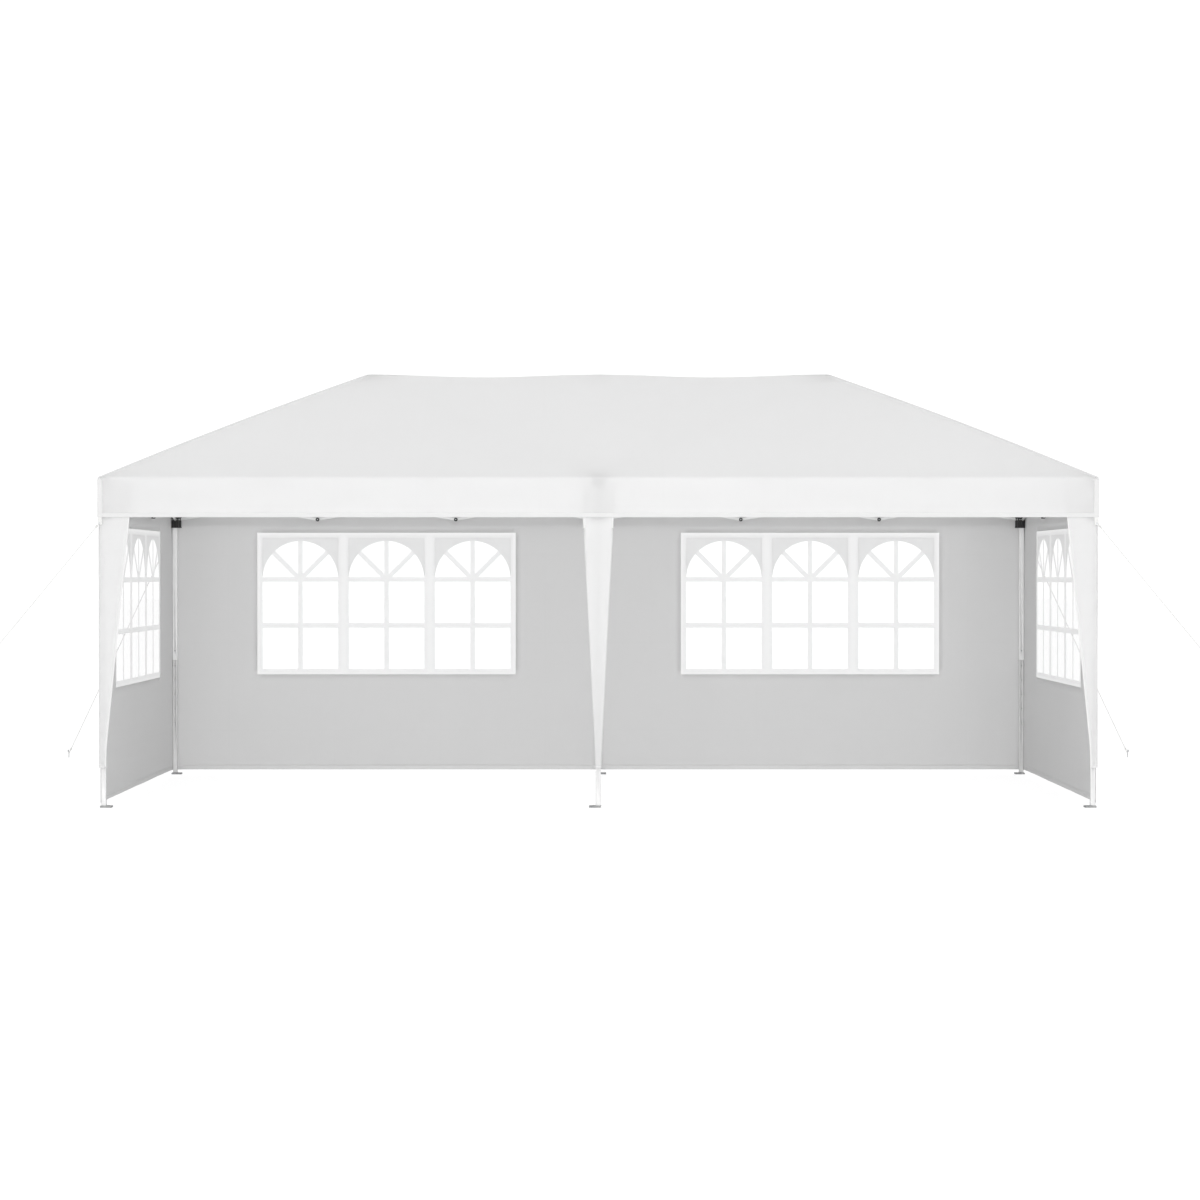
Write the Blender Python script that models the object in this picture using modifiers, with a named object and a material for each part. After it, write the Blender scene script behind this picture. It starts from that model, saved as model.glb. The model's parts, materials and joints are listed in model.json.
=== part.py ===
"""A white fold-out party marquee, 3 m by 6 m, with an open front.

The folding frame has six telescopic legs, scissor trusses between them and rafters that rise to two hubs.
A sewn hip roof with a straight valance covers it. Two back walls and two end walls carry clear windows,
tapering covers hide the front legs, and a guy rope holds each corner.

+X runs to the right along the front, +Y to the back wall and +Z up. The origin is on the floor, under the
middle of the roof. Sizes are in metres.
"""

import math

import bmesh
import bpy
from mathutils import Matrix, Vector

# Roof and valance
HALF_LENGTH = 3.0
HALF_WIDTH = 1.5
EAVE_HEIGHT = 1.98
RIDGE_HEIGHT = 2.70
RIDGE_DIP = 0.018
HIP_BULGE = 0.015
SLOPE_SAG = 0.015
ROOF_THICKNESS = 0.003
VALANCE_BOTTOM = 1.742
VALANCE_THICKNESS = 0.003
LONG_SLOPE_COLUMNS = 24
END_SLOPE_COLUMNS = 12
SLOPE_ROWS = 6
END_SLOPE_TOP = 0.995
GAP = 0.0003

# Legs
LEG_X = 2.968
LEG_Y = 1.468
UPPER_TUBE = 0.034
LOWER_TUBE = 0.030
TUBE_WALL = 0.0012
UPPER_TUBE_BOTTOM = 0.80
UPPER_TUBE_TOP = 1.935
LOWER_TUBE_TOP = 1.00
FOOT_PLATE = 0.070
FOOT_PLATE_THICKNESS = 0.010
FOOT_PLATE_CORNER = 0.008
FOOT_OFFSET_CORNER = 0.013
FOOT_OFFSET_MIDDLE = 0.020
PEG_HOLE_RADIUS = 0.0045
PEG_HOLE_INSET = 0.011

# Brackets that the trusses are pinned to: fixed ones on top of the legs and sliding ones below them
BRACKET_OUTER_REACH = 0.021
BRACKET_INNER_REACH = 0.030
FORK_TIP = 0.044
FORK_HALF_WIDTH = 0.015
FORK_TIP_HALF_WIDTH = 0.0145
FORK_HALF_SLOT = 0.011
FORK_MOUTH_HALF_SLOT = 0.0115
FORK_SLOT_START = 0.0205
TOP_BRACKET_BOTTOM = 1.915
TOP_BRACKET_TOP = 1.975
SLIDER_BOTTOM = 1.726
SLIDER_TOP = 1.800

# Scissor trusses
TRUSS_CELLS = 3
PIVOT_OFFSET = 0.030
UPPER_PIVOT = 1.950
LOWER_PIVOT = 1.785
BAR_HEIGHT = 0.018
BAR_THICKNESS = 0.010
BAR_PLANE = 0.0055
BAR_OVERRUN = 0.007
JOINT_RADIUS = 0.013
JOINT_LENGTH = 0.025
JOINT_SIDES = 10

# Rafters, hubs and the post under the middle of the ridge
HUB_X = 1.5
HUB_RADIUS = 0.045
HUB_BOTTOM = 2.595
HUB_TOP = 2.650
HUB_TIP = 2.686
RAFTER_SIZE = 0.020
RAFTER_START = 0.056
RAFTER_START_HEIGHT = 1.962
RAFTER_END_HEIGHT = 2.632
POST_SIZE = 0.024
POST_TOP = 2.660
POST_CAP_BOTTOM = 2.655
POST_CAP_RADIUS = 0.030
CAP_TIP_RADIUS = 0.010
ROUND_SIDES = 16

# Walls and windows
WALL_INNER_X = 2.9895
WALL_INNER_Y = 1.4895
WALL_THICKNESS = 0.002
WALL_BOTTOM = 0.03
WALL_TOP = 1.93
WALL_SEAM_GAP = 0.0005
WINDOW_WIDTH = 1.815
WINDOW_BOTTOM = 0.698
WINDOW_TOP = 1.693
BACK_WINDOW_X = 1.487
FILM_THICKNESS = 0.001
CUTTER_DEPTH = 0.02

# Covers on the front legs
COVER_OUTER_X = 2.994
COVER_OUTER_Y = 1.494
COVER_THICKNESS = 0.002
COVER_BOTTOM = 0.24
COVER_TOP = 1.93
COVER_RETURN_TOP = 1.70
COVER_RETURN_DEPTH = 0.045
COVER_KNEE = 0.33
CORNER_COVER_LEAST = 0.042
MIDDLE_COVER_LEAST = 0.036
COVER_TAPER_WIDTH = 0.031
COVER_TAPER_RATE = 0.102

# Guy ropes and pegs
ROPE_RADIUS = 0.0025
ROPE_TOP = Vector((2.990, 1.4985, 1.705))
TAB_WIDTH = 0.025
TAB_THICKNESS = 0.002
TAB_BOTTOM = 1.695
TAB_GAP = 0.0005
PEG = Vector((4.05, 3.30, 0.0))
PEG_RADIUS = 0.003
PEG_SHAFT_TOP = 0.048
PEG_HOOK_RADIUS = 0.009
PEG_HOOK_STEPS = 5
PEG_TIP_LENGTH = 0.006
ROPE_END_HEIGHT = 0.035
ROPE_END_GAP = 0.0055

WELD_DISTANCE = 0.00001
FLAT_ANGLE = 0.001

SIDES = ((1, 0), (0, 1), (-1, 0), (0, -1))
RIGHT, BACK, LEFT, FRONT = range(4)


def clear_scene():
    for old in list(bpy.data.objects):
        bpy.data.objects.remove(old)


def new_collection(name):
    made = bpy.data.collections.new(name)
    bpy.context.scene.collection.children.link(made)
    return made


def new_material(name, colour, roughness, metallic=0.0, alpha=1.0):
    made = bpy.data.materials.new(name)
    made.use_nodes = True
    shader = made.node_tree.nodes["Principled BSDF"]
    shader.inputs["Base Color"].default_value = (*colour, 1.0)
    shader.inputs["Roughness"].default_value = roughness
    shader.inputs["Metallic"].default_value = metallic
    shader.inputs["Alpha"].default_value = alpha
    return made


clear_scene()
marquee = new_collection("marquee tent")
cutters = new_collection("cutters")

canopy_cloth = new_material("canopy cloth", (0.90, 0.90, 0.90), 0.75)
wall_cloth = new_material("wall cloth", (0.86, 0.86, 0.86), 0.75)
clear_film = new_material("clear film", (0.95, 0.97, 0.98), 0.15, alpha=0.3)
white_paint = new_material("white paint", (0.84, 0.84, 0.84), 0.4)
black_plastic = new_material("black plastic", (0.02, 0.02, 0.02), 0.5)
rope_fibre = new_material("rope fibre", (0.85, 0.85, 0.84), 0.8)
peg_steel = new_material("peg steel", (0.55, 0.56, 0.57), 0.4, metallic=0.9)


def new_object(name, mesh, look=None, collection=marquee):
    made = bpy.data.objects.new(name, mesh)
    collection.objects.link(made)
    if look:
        mesh.materials.clear()
        mesh.materials.append(look)
    return made


def mesh_from(name, shape):
    """A mesh of this name from a bmesh, which it uses up."""
    bmesh.ops.recalc_face_normals(shape, faces=shape.faces[:])
    mesh = bpy.data.meshes.new(name)
    shape.to_mesh(mesh)
    shape.free()
    return mesh


def box(name, low, high, look=None, collection=marquee):
    """A box between two corners, with its origin in its middle."""
    low, high = Vector(low), Vector(high)
    shape = bmesh.new()
    bmesh.ops.create_cube(shape, size=1.0)
    bmesh.ops.scale(shape, vec=high - low, verts=shape.verts[:])
    made = new_object(name, mesh_from(name, shape), look, collection)
    made.location = (low + high) / 2
    return made


def bar(name, start, end, width, height):
    """A square bar from one point to another."""
    start, end = Vector(start), Vector(end)
    shape = bmesh.new()
    bmesh.ops.create_cube(shape, size=1.0)
    bmesh.ops.scale(shape, vec=((end - start).length, width, height), verts=shape.verts[:])
    made = new_object(name, mesh_from(name, shape))
    turn = (end - start).to_track_quat("X", "Z").to_matrix().to_4x4()
    made.matrix_world = Matrix.Translation((start + end) / 2) @ turn
    return made


def cross_pin(name, radius, length, centre):
    """A short cylinder along Y."""
    shape = bmesh.new()
    bmesh.ops.create_cone(
        shape, cap_ends=True, segments=JOINT_SIDES, radius1=radius, radius2=radius, depth=length,
    )
    made = new_object(name, mesh_from(name, shape))
    made.matrix_world = Matrix.Translation(centre) @ Matrix.Rotation(math.pi / 2, 4, "X")
    return made


def turned(name, profile, x):
    """A turned piece that stands upright at x, from its profile of radii and heights, top to bottom."""
    shape = bmesh.new()
    points = [shape.verts.new((radius, 0, height)) for radius, height in profile]
    for above, below in zip(points, points[1:]):
        shape.edges.new((above, below))
    mesh = bpy.data.meshes.new(name)
    shape.to_mesh(mesh)
    shape.free()
    made = new_object(name, mesh)
    turn = made.modifiers.new("turn", "SCREW")
    turn.steps = turn.render_steps = ROUND_SIDES
    turn.use_merge_vertices = True
    turn.merge_threshold = 0.0001
    made.location.x = x
    return made


def as_mesh(curve_object):
    """The same shape as a mesh object with welded caps, in place of the curve object."""
    bpy.context.view_layer.update()
    seen = curve_object.evaluated_get(bpy.context.evaluated_depsgraph_get())
    mesh = bpy.data.meshes.new_from_object(seen)
    shape = bmesh.new()
    shape.from_mesh(mesh)
    bmesh.ops.remove_doubles(shape, verts=shape.verts[:], dist=WELD_DISTANCE)
    bmesh.ops.dissolve_limit(shape, angle_limit=FLAT_ANGLE, verts=shape.verts[:], edges=shape.edges[:])
    bmesh.ops.recalc_face_normals(shape, faces=shape.faces[:])
    shape.to_mesh(mesh)
    shape.free()
    name, place = curve_object.name, curve_object.matrix_world.copy()
    bpy.data.objects.remove(curve_object)
    made = new_object(name, mesh)
    made.matrix_world = place
    return made


def extruded(name, outlines, low, high):
    """Flat outlines drawn in X and Y, filled between the outer and the inner ones, from one height to another."""
    curve = bpy.data.curves.new(name, "CURVE")
    curve.dimensions = "2D"
    curve.fill_mode = "BOTH"
    curve.extrude = (high - low) / 2
    for outline in outlines:
        spline = curve.splines.new("POLY")
        spline.points.add(len(outline) - 1)
        for point, (x, y) in zip(spline.points, outline):
            point.co = (x, y, 0.0, 1.0)
        spline.use_cyclic_u = True
    made = bpy.data.objects.new(name, curve)
    marquee.objects.link(made)
    made.location.z = (low + high) / 2
    return as_mesh(made)


def tube_along(name, points, radius):
    """A round tube with closed ends through these points."""
    curve = bpy.data.curves.new(name, "CURVE")
    curve.dimensions = "3D"
    curve.bevel_depth = radius
    curve.bevel_resolution = 2
    curve.use_fill_caps = True
    spline = curve.splines.new("POLY")
    spline.points.add(len(points) - 1)
    for point, place in zip(spline.points, points):
        point.co = (*place, 1.0)
    made = bpy.data.objects.new(name, curve)
    marquee.objects.link(made)
    return as_mesh(made)


def joined(name, pieces, look, location=(0, 0, 0)):
    """One object made by a Boolean union of these mesh objects, which it uses up, with its origin at location."""
    base = pieces[0]
    for other in pieces[1:]:
        join = base.modifiers.new("join", "BOOLEAN")
        join.operation = "UNION"
        join.solver = "EXACT"
        join.object = other
    bpy.context.view_layer.update()
    seen = base.evaluated_get(bpy.context.evaluated_depsgraph_get())
    mesh = bpy.data.meshes.new_from_object(seen)
    mesh.transform(Matrix.Translation(-Vector(location)) @ base.matrix_world)
    for piece in pieces:
        bpy.data.objects.remove(piece)
    mesh.name = name
    made = new_object(name, mesh, look)
    made.location = location
    return made


def square(half):
    return [(half * x, half * y) for x, y in ((-1, -1), (1, -1), (1, 1), (-1, 1))]


def sheet(columns, rows, place):
    """A grid whose points are moved by place(u, v), with u from -1 to 1 and v from 0 to 1."""
    shape = bmesh.new()
    bmesh.ops.create_grid(shape, x_segments=columns, y_segments=rows, size=1.0)
    for vertex in shape.verts:
        vertex.co = place(vertex.co.x, (vertex.co.y + 1) / 2)
    return shape


# Roof: four cloth slopes over one hip form

def roof_height(u, v, x):
    """The height of the cloth at v of the way up a slope, where u is 0 in its middle and 1 or -1 at its hips."""
    rise = (RIDGE_HEIGHT - EAVE_HEIGHT) * v
    slack = math.sin(math.pi * v)
    hips = HIP_BULGE * slack * abs(u) ** 3
    sag = SLOPE_SAG * slack * (1 - u * u)
    dip = RIDGE_DIP * math.sin(math.pi * x / HUB_X) ** 2 if abs(x) < HUB_X else 0.0
    return EAVE_HEIGHT + rise + hips - sag - dip * v * v


def long_slope(side):
    """Places points on the front slope for side -1 and on the back one for side 1."""
    def place(u, v):
        x = u * (HALF_LENGTH - HALF_WIDTH * v - GAP)
        y = GAP / 2 + (HALF_WIDTH - GAP / 2) * (1 - v)
        return Vector((x, side * y, roof_height(u, v, x)))
    return place


def end_slope(side):
    """Places points on the left end slope for side -1 and on the right one for side 1."""
    def place(u, v):
        v *= END_SLOPE_TOP
        x = HALF_LENGTH - HALF_WIDTH * v
        y = u * (HALF_WIDTH * (1 - v) - GAP)
        return Vector((side * x, y, roof_height(u, v, x)))
    return place


def roof_slope(name, columns, place):
    shape = sheet(columns, SLOPE_ROWS, place)
    below = bmesh.ops.extrude_face_region(shape, geom=shape.faces[:])["geom"]
    moved = [item for item in below if isinstance(item, bmesh.types.BMVert)]
    bmesh.ops.translate(shape, vec=(0, 0, -ROOF_THICKNESS), verts=moved)
    mesh = mesh_from(name, shape)
    mesh.shade_smooth()
    mesh.set_sharp_from_angle(angle=math.radians(40))
    new_object(name, mesh, canopy_cloth)


roof_slope("roof_front", LONG_SLOPE_COLUMNS, long_slope(-1))
roof_slope("roof_back", LONG_SLOPE_COLUMNS, long_slope(1))
roof_slope("roof_left_end", END_SLOPE_COLUMNS, end_slope(-1))
roof_slope("roof_right_end", END_SLOPE_COLUMNS, end_slope(1))


# Valance: a straight strip down from each eave

def valance(name, low_xy, high_xy):
    top = EAVE_HEIGHT - ROOF_THICKNESS - GAP
    box(name, (*low_xy, VALANCE_BOTTOM), (*high_xy, top), canopy_cloth)


valance_inner_x = HALF_LENGTH - VALANCE_THICKNESS
valance_inner_y = HALF_WIDTH - VALANCE_THICKNESS
valance_end_y = valance_inner_y - GAP
valance("valance_front", (-HALF_LENGTH, -HALF_WIDTH), (HALF_LENGTH, -valance_inner_y))
valance("valance_back", (-HALF_LENGTH, valance_inner_y), (HALF_LENGTH, HALF_WIDTH))
valance("valance_left_end", (-HALF_LENGTH, -valance_end_y), (-valance_inner_x, valance_end_y))
valance("valance_right_end", (valance_inner_x, -valance_end_y), (HALF_LENGTH, valance_end_y))


# Walls, each with a window cut through and filled by a sheet of clear film

def wall_with_window(name, window_name, low_xy, high_xy, window_centre, along):
    """A wall in the X or Y direction, with a window whose middle is window_centre along it."""
    wall = box(name, (*low_xy, WALL_BOTTOM), (*high_xy, WALL_TOP), wall_cloth)
    across = 1 - along
    middle = (low_xy[across] + high_xy[across]) / 2

    def corners(depth, margin):
        low, high = [0, 0, WINDOW_BOTTOM + margin], [0, 0, WINDOW_TOP - margin]
        low[along] = window_centre - WINDOW_WIDTH / 2 + margin
        high[along] = window_centre + WINDOW_WIDTH / 2 - margin
        low[across], high[across] = middle - depth / 2, middle + depth / 2
        return low, high

    cutter = box(window_name + "_cutter", *corners(CUTTER_DEPTH, 0.0), collection=cutters)
    cutter.hide_render = True
    cutter.display_type = "WIRE"
    cut = wall.modifiers.new("window", "BOOLEAN")
    cut.operation = "DIFFERENCE"
    cut.solver = "EXACT"
    cut.object = cutter
    box(window_name, *corners(FILM_THICKNESS, GAP), clear_film)


wall_outer_x = WALL_INNER_X + WALL_THICKNESS
wall_outer_y = WALL_INNER_Y + WALL_THICKNESS
back_wall_end = WALL_INNER_X - WALL_SEAM_GAP
wall_with_window(
    "back_wall_left", "back_window_left",
    (-back_wall_end, WALL_INNER_Y), (-WALL_SEAM_GAP, wall_outer_y), -BACK_WINDOW_X, 0,
)
wall_with_window(
    "back_wall_right", "back_window_right",
    (WALL_SEAM_GAP, WALL_INNER_Y), (back_wall_end, wall_outer_y), BACK_WINDOW_X, 0,
)
wall_with_window(
    "left_end_wall", "left_end_window",
    (-wall_outer_x, -wall_outer_y), (-WALL_INNER_X, wall_outer_y), 0.0, 1,
)
wall_with_window(
    "right_end_wall", "right_end_window",
    (WALL_INNER_X, -wall_outer_y), (wall_outer_x, wall_outer_y), 0.0, 1,
)


# Covers that hang from the valance down the front legs and narrow to the leg's width

COVER_LEVELS = (COVER_BOTTOM, COVER_KNEE, COVER_RETURN_TOP, COVER_TOP)


def cover_level(v):
    return COVER_LEVELS[round(v * (len(COVER_LEVELS) - 1))]


def cover_width(least, height):
    return max(least, COVER_TAPER_WIDTH + COVER_TAPER_RATE * (height - COVER_BOTTOM))


def thick_cover(name, shape):
    """Makes the open sheet a cover of even thickness, inwards from its outer face."""
    cover = new_object(name, mesh_from(name, shape), canopy_cloth)
    cover.data.shade_flat()
    solid = cover.modifiers.new("thickness", "SOLIDIFY")
    solid.thickness = COVER_THICKNESS
    solid.offset = -1.0
    solid.use_even_offset = True


def facing(shape, direction):
    """The open sheet with its faces turned towards this direction."""
    bmesh.ops.recalc_face_normals(shape, faces=shape.faces[:])
    if sum(face.normal.dot(direction) * face.calc_area() for face in shape.faces) < 0:
        bmesh.ops.reverse_faces(shape, faces=shape.faces[:])
    return shape


def corner_cover(side):
    """Two wings that meet in front of the corner leg, one along the front and one along the end."""
    def place(u, v):
        height = cover_level(v)
        width = cover_width(CORNER_COVER_LEAST, height)
        x = COVER_OUTER_X - (width if u < -0.5 else 0.0)
        y = -COVER_OUTER_Y + (width if u > 0.5 else 0.0)
        return Vector((side * x, y, height))
    return facing(sheet(2, len(COVER_LEVELS) - 1, place), Vector((side, -1, 0)))


def middle_cover():
    """A flat front that reaches up behind the valance, and two returns along the leg's sides below the frame."""
    def place(u, v):
        height = cover_level(v)
        x = math.copysign(cover_width(MIDDLE_COVER_LEAST, height) / 2, u)
        y = -COVER_OUTER_Y + (COVER_RETURN_DEPTH if abs(u) > 0.9 else 0.0)
        return Vector((x, y, height))

    shape = sheet(3, len(COVER_LEVELS) - 1, place)
    shape.normal_update()
    returns_above = [
        face for face in shape.faces
        if face.calc_center_median().z > COVER_RETURN_TOP and abs(face.normal.x) > 0.5
    ]
    bmesh.ops.delete(shape, geom=returns_above, context="FACES")
    return facing(shape, Vector((0, -1, 0)))


thick_cover("leg_cover_left", corner_cover(-1))
thick_cover("leg_cover_middle", middle_cover())
thick_cover("leg_cover_right", corner_cover(1))


# Legs: an upper tube with a forked bracket on top, a lower tube on a foot plate, and a black slider between

def bracket_outline(reaches, forks):
    """The outline of a block around a leg, seen from above, with a slotted fork on each side that holds a truss."""
    points = []
    for side, (out_x, out_y) in enumerate(SIDES):
        before = SIDES[side - 1]
        along_x, along_y = -out_y, out_x
        reach, reach_before = reaches[side], reaches[side - 1]
        points.append((out_x * reach + before[0] * reach_before, out_y * reach + before[1] * reach_before))
        if side not in forks:
            continue
        for distance, offset in (
            (reach, -FORK_HALF_WIDTH), (FORK_TIP, -FORK_TIP_HALF_WIDTH),
            (FORK_TIP, -FORK_MOUTH_HALF_SLOT), (FORK_SLOT_START, -FORK_HALF_SLOT),
            (FORK_SLOT_START, FORK_HALF_SLOT), (FORK_TIP, FORK_MOUTH_HALF_SLOT),
            (FORK_TIP, FORK_TIP_HALF_WIDTH), (reach, FORK_HALF_WIDTH),
        ):
            points.append((out_x * distance + along_x * offset, out_y * distance + along_y * offset))
    return points


def plate_outline(centre):
    """A square with rounded corners."""
    inner = FOOT_PLATE / 2 - FOOT_PLATE_CORNER
    points = []
    for turn, (x, y) in enumerate(((1, 1), (-1, 1), (-1, -1), (1, -1))):
        for step in range(4):
            angle = math.pi / 2 * (turn + step / 3)
            points.append((
                centre[0] + inner * x + FOOT_PLATE_CORNER * math.cos(angle),
                centre[1] + inner * y + FOOT_PLATE_CORNER * math.sin(angle),
            ))
    return points


def ring(centre, radius, sides=12):
    turns = [2 * math.pi * step / sides for step in range(sides)]
    return [(centre[0] + radius * math.cos(turn), centre[1] + radius * math.sin(turn)) for turn in turns]


def leg(place, x, y, forks, foot_offset, hole_side):
    """The four pieces of one leg. Its place is a name such as front_left."""
    outer_sides = {side for side in range(4) if side not in forks}
    reaches = [BRACKET_OUTER_REACH if side in outer_sides else BRACKET_INNER_REACH for side in range(4)]
    outline = bracket_outline(reaches, forks)

    upper_half, lower_half = UPPER_TUBE / 2, LOWER_TUBE / 2
    tube = extruded(
        "tube", [square(upper_half), square(upper_half - TUBE_WALL)], UPPER_TUBE_BOTTOM, UPPER_TUBE_TOP,
    )
    bracket = extruded("bracket", [outline], TOP_BRACKET_BOTTOM, TOP_BRACKET_TOP)
    upper = joined("leg_" + place, [bracket, tube], white_paint)
    upper.location = (x, y, 0)

    slider = extruded("slider", [outline, square(upper_half + GAP)], SLIDER_BOTTOM, SLIDER_TOP)
    slider.name = "slider_" + place
    slider.data.materials.append(black_plastic)
    slider.location.x, slider.location.y = x, y

    hole_reach = FOOT_PLATE / 2 - PEG_HOLE_INSET
    hole = (foot_offset[0] + hole_side[0] * hole_reach, foot_offset[1] + hole_side[1] * hole_reach)
    plate = extruded(
        "plate", [plate_outline(foot_offset), ring(hole, PEG_HOLE_RADIUS)], 0.0, FOOT_PLATE_THICKNESS,
    )
    inner_tube = extruded(
        "inner tube", [square(lower_half), square(lower_half - TUBE_WALL)], FOOT_PLATE_THICKNESS / 2, LOWER_TUBE_TOP,
    )
    lower = joined("lower_leg_" + place, [plate, inner_tube], white_paint)
    lower.location = (x, y, 0)


inward = FOOT_OFFSET_CORNER
aside = FOOT_OFFSET_MIDDLE
leg("front_left", -LEG_X, -LEG_Y, {RIGHT, BACK}, (inward, inward), (1, 1))
leg("front_middle", 0.0, -LEG_Y, {RIGHT, BACK, LEFT}, (-aside, inward), (-1, 1))
leg("front_right", LEG_X, -LEG_Y, {LEFT, BACK}, (-inward, inward), (-1, 1))
leg("back_left", -LEG_X, LEG_Y, {RIGHT, FRONT}, (inward, -inward), (1, -1))
leg("back_middle", 0.0, LEG_Y, {RIGHT, FRONT, LEFT}, (aside, -inward), (1, -1))
leg("back_right", LEG_X, LEG_Y, {LEFT, FRONT}, (-inward, -inward), (-1, -1))


# Scissor trusses: pairs of crossing bars, side by side, pinned where they cross and where their ends meet

def truss_pieces(run):
    """The bars and joints of a truss that starts at a leg's middle and runs along X to the next leg's."""
    cell = (run - 2 * PIVOT_OFFSET) / TRUSS_CELLS
    middle_height = (UPPER_PIVOT + LOWER_PIVOT) / 2
    pieces = []
    for index in range(TRUSS_CELLS):
        start = PIVOT_OFFSET + index * cell
        end = start + cell
        for plane, from_height, to_height in (
            (-BAR_PLANE, UPPER_PIVOT, LOWER_PIVOT),
            (BAR_PLANE, LOWER_PIVOT, UPPER_PIVOT),
        ):
            low, high = Vector((start, plane, from_height)), Vector((end, plane, to_height))
            past = (high - low).normalized() * BAR_OVERRUN
            pieces.append(bar("bar", low - past, high + past, BAR_THICKNESS, BAR_HEIGHT))
        joints = [(start + cell / 2, middle_height)]
        if index > 0:
            joints += [(start, UPPER_PIVOT), (start, LOWER_PIVOT)]
        for along, height in joints:
            pieces.append(cross_pin("joint", JOINT_RADIUS, JOINT_LENGTH, (along, 0, height)))
    return pieces


def place_truss(name, mesh, x, y, degrees):
    made = new_object(name, mesh)
    made.location = (x, y, 0)
    made.rotation_euler.z = math.radians(degrees)


long_truss = joined("truss_front_left", truss_pieces(LEG_X), white_paint)
long_truss.location = (-LEG_X, -LEG_Y, 0)
place_truss("truss_front_right", long_truss.data, 0, -LEG_Y, 0)
place_truss("truss_back_left", long_truss.data, -LEG_X, LEG_Y, 0)
place_truss("truss_back_right", long_truss.data, 0, LEG_Y, 0)

short_truss = joined("truss_left_end", truss_pieces(2 * LEG_Y), white_paint)
short_truss.location = (-LEG_X, -LEG_Y, 0)
short_truss.rotation_euler.z = math.radians(90)
place_truss("truss_right_end", short_truss.data, LEG_X, -LEG_Y, 90)

post_base = (UPPER_PIVOT + LOWER_PIVOT) / 2
post_start, post_end = (LEG_Y, 0, post_base), (LEG_Y, 0, POST_TOP)
post = bar("post", post_start, post_end, POST_SIZE, POST_SIZE)
post_cap = turned("post cap", [
    (0, HUB_TIP), (CAP_TIP_RADIUS, HUB_TIP), (POST_CAP_RADIUS, POST_CAP_BOTTOM), (0, POST_CAP_BOTTOM),
], LEG_Y)
middle_truss = joined("truss_middle", truss_pieces(2 * LEG_Y) + [post, post_cap], white_paint)
middle_truss.location = (0, -LEG_Y, 0)
middle_truss.rotation_euler.z = math.radians(90)


# Rafters: four bars that rise from the legs to a hub under each end of the ridge

def rafters(name, hub_x, leg_xs):
    pieces = [turned("hub", [
        (0, HUB_TIP), (CAP_TIP_RADIUS, HUB_TIP), (HUB_RADIUS, HUB_TOP), (HUB_RADIUS, HUB_BOTTOM), (0, HUB_BOTTOM),
    ], hub_x)]
    for leg_x in leg_xs:
        for leg_y in (-LEG_Y, LEG_Y):
            leg_top = Vector((leg_x, leg_y, 0))
            inwards = (Vector((hub_x, 0, 0)) - leg_top).normalized()
            low = leg_top + inwards * RAFTER_START + Vector((0, 0, RAFTER_START_HEIGHT))
            high = Vector((hub_x, 0, RAFTER_END_HEIGHT)) - inwards * HUB_RADIUS / 2
            pieces.append(bar("rafter", low, high, RAFTER_SIZE, RAFTER_SIZE))
    joined(name, pieces, white_paint, (hub_x, 0, HUB_BOTTOM))


rafters("rafters_left", -HUB_X, (-LEG_X, 0))
rafters("rafters_right", HUB_X, (0, LEG_X))


# Guy ropes from a cloth tab at each valance corner to a hooked peg, of which the part above ground is made

def rope_and_peg(place, side_x, side_y):
    def mirrored(point):
        return Vector((side_x * point[0], side_y * point[1], point[2]))

    outwards = (PEG - ROPE_TOP.to_2d().to_3d()).normalized()
    end = PEG - outwards * ROPE_END_GAP + Vector((0, 0, ROPE_END_HEIGHT))
    line = tube_along("line", [mirrored(ROPE_TOP), mirrored(end)], ROPE_RADIUS)
    tab_top = VALANCE_BOTTOM - TAB_GAP
    middle = mirrored((ROPE_TOP.x - TAB_WIDTH / 4, ROPE_TOP.y, (TAB_BOTTOM + tab_top) / 2))
    half = Vector((TAB_WIDTH / 2, TAB_THICKNESS / 2, (tab_top - TAB_BOTTOM) / 2))
    tab = box("tab", middle - half, middle + half)
    joined("guy_rope_" + place, [tab, line], rope_fibre, mirrored(ROPE_TOP))

    points = [Vector((0, 0, 0))]
    for step in range(PEG_HOOK_STEPS + 1):
        angle = math.pi * step / PEG_HOOK_STEPS
        points.append(Vector((
            PEG_HOOK_RADIUS * (1 - math.cos(angle)), 0, PEG_SHAFT_TOP + PEG_HOOK_RADIUS * math.sin(angle),
        )))
    points.append(points[-1] - Vector((0, 0, PEG_TIP_LENGTH)))
    peg = tube_along("peg_" + place, points, PEG_RADIUS)
    peg.data.materials.append(peg_steel)
    peg.data.shade_smooth()
    peg.data.set_sharp_from_angle(angle=math.radians(40))
    peg.location = mirrored(PEG)
    away = mirrored(outwards)
    peg.rotation_euler.z = math.atan2(away.y, away.x)


for place, side_x, side_y in (
    ("front_left", -1, -1), ("front_right", 1, -1), ("back_left", -1, 1), ("back_right", 1, 1),
):
    rope_and_peg(place, side_x, side_y)
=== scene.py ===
"""The looks of a white fold-out party marquee, 3 m by 6 m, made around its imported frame.

One sewn cover makes the hip roof and its straight valance. Two back walls and two end walls hang below
it, each with a clear window of three arched lights. Tapering covers hide the front legs, and guy ropes
hold the corners.
"""

import json
import math

import bmesh
import bpy
from bpy.props import FloatProperty, FloatVectorProperty, PointerProperty
from mathutils import Matrix, Vector, noise


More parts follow.
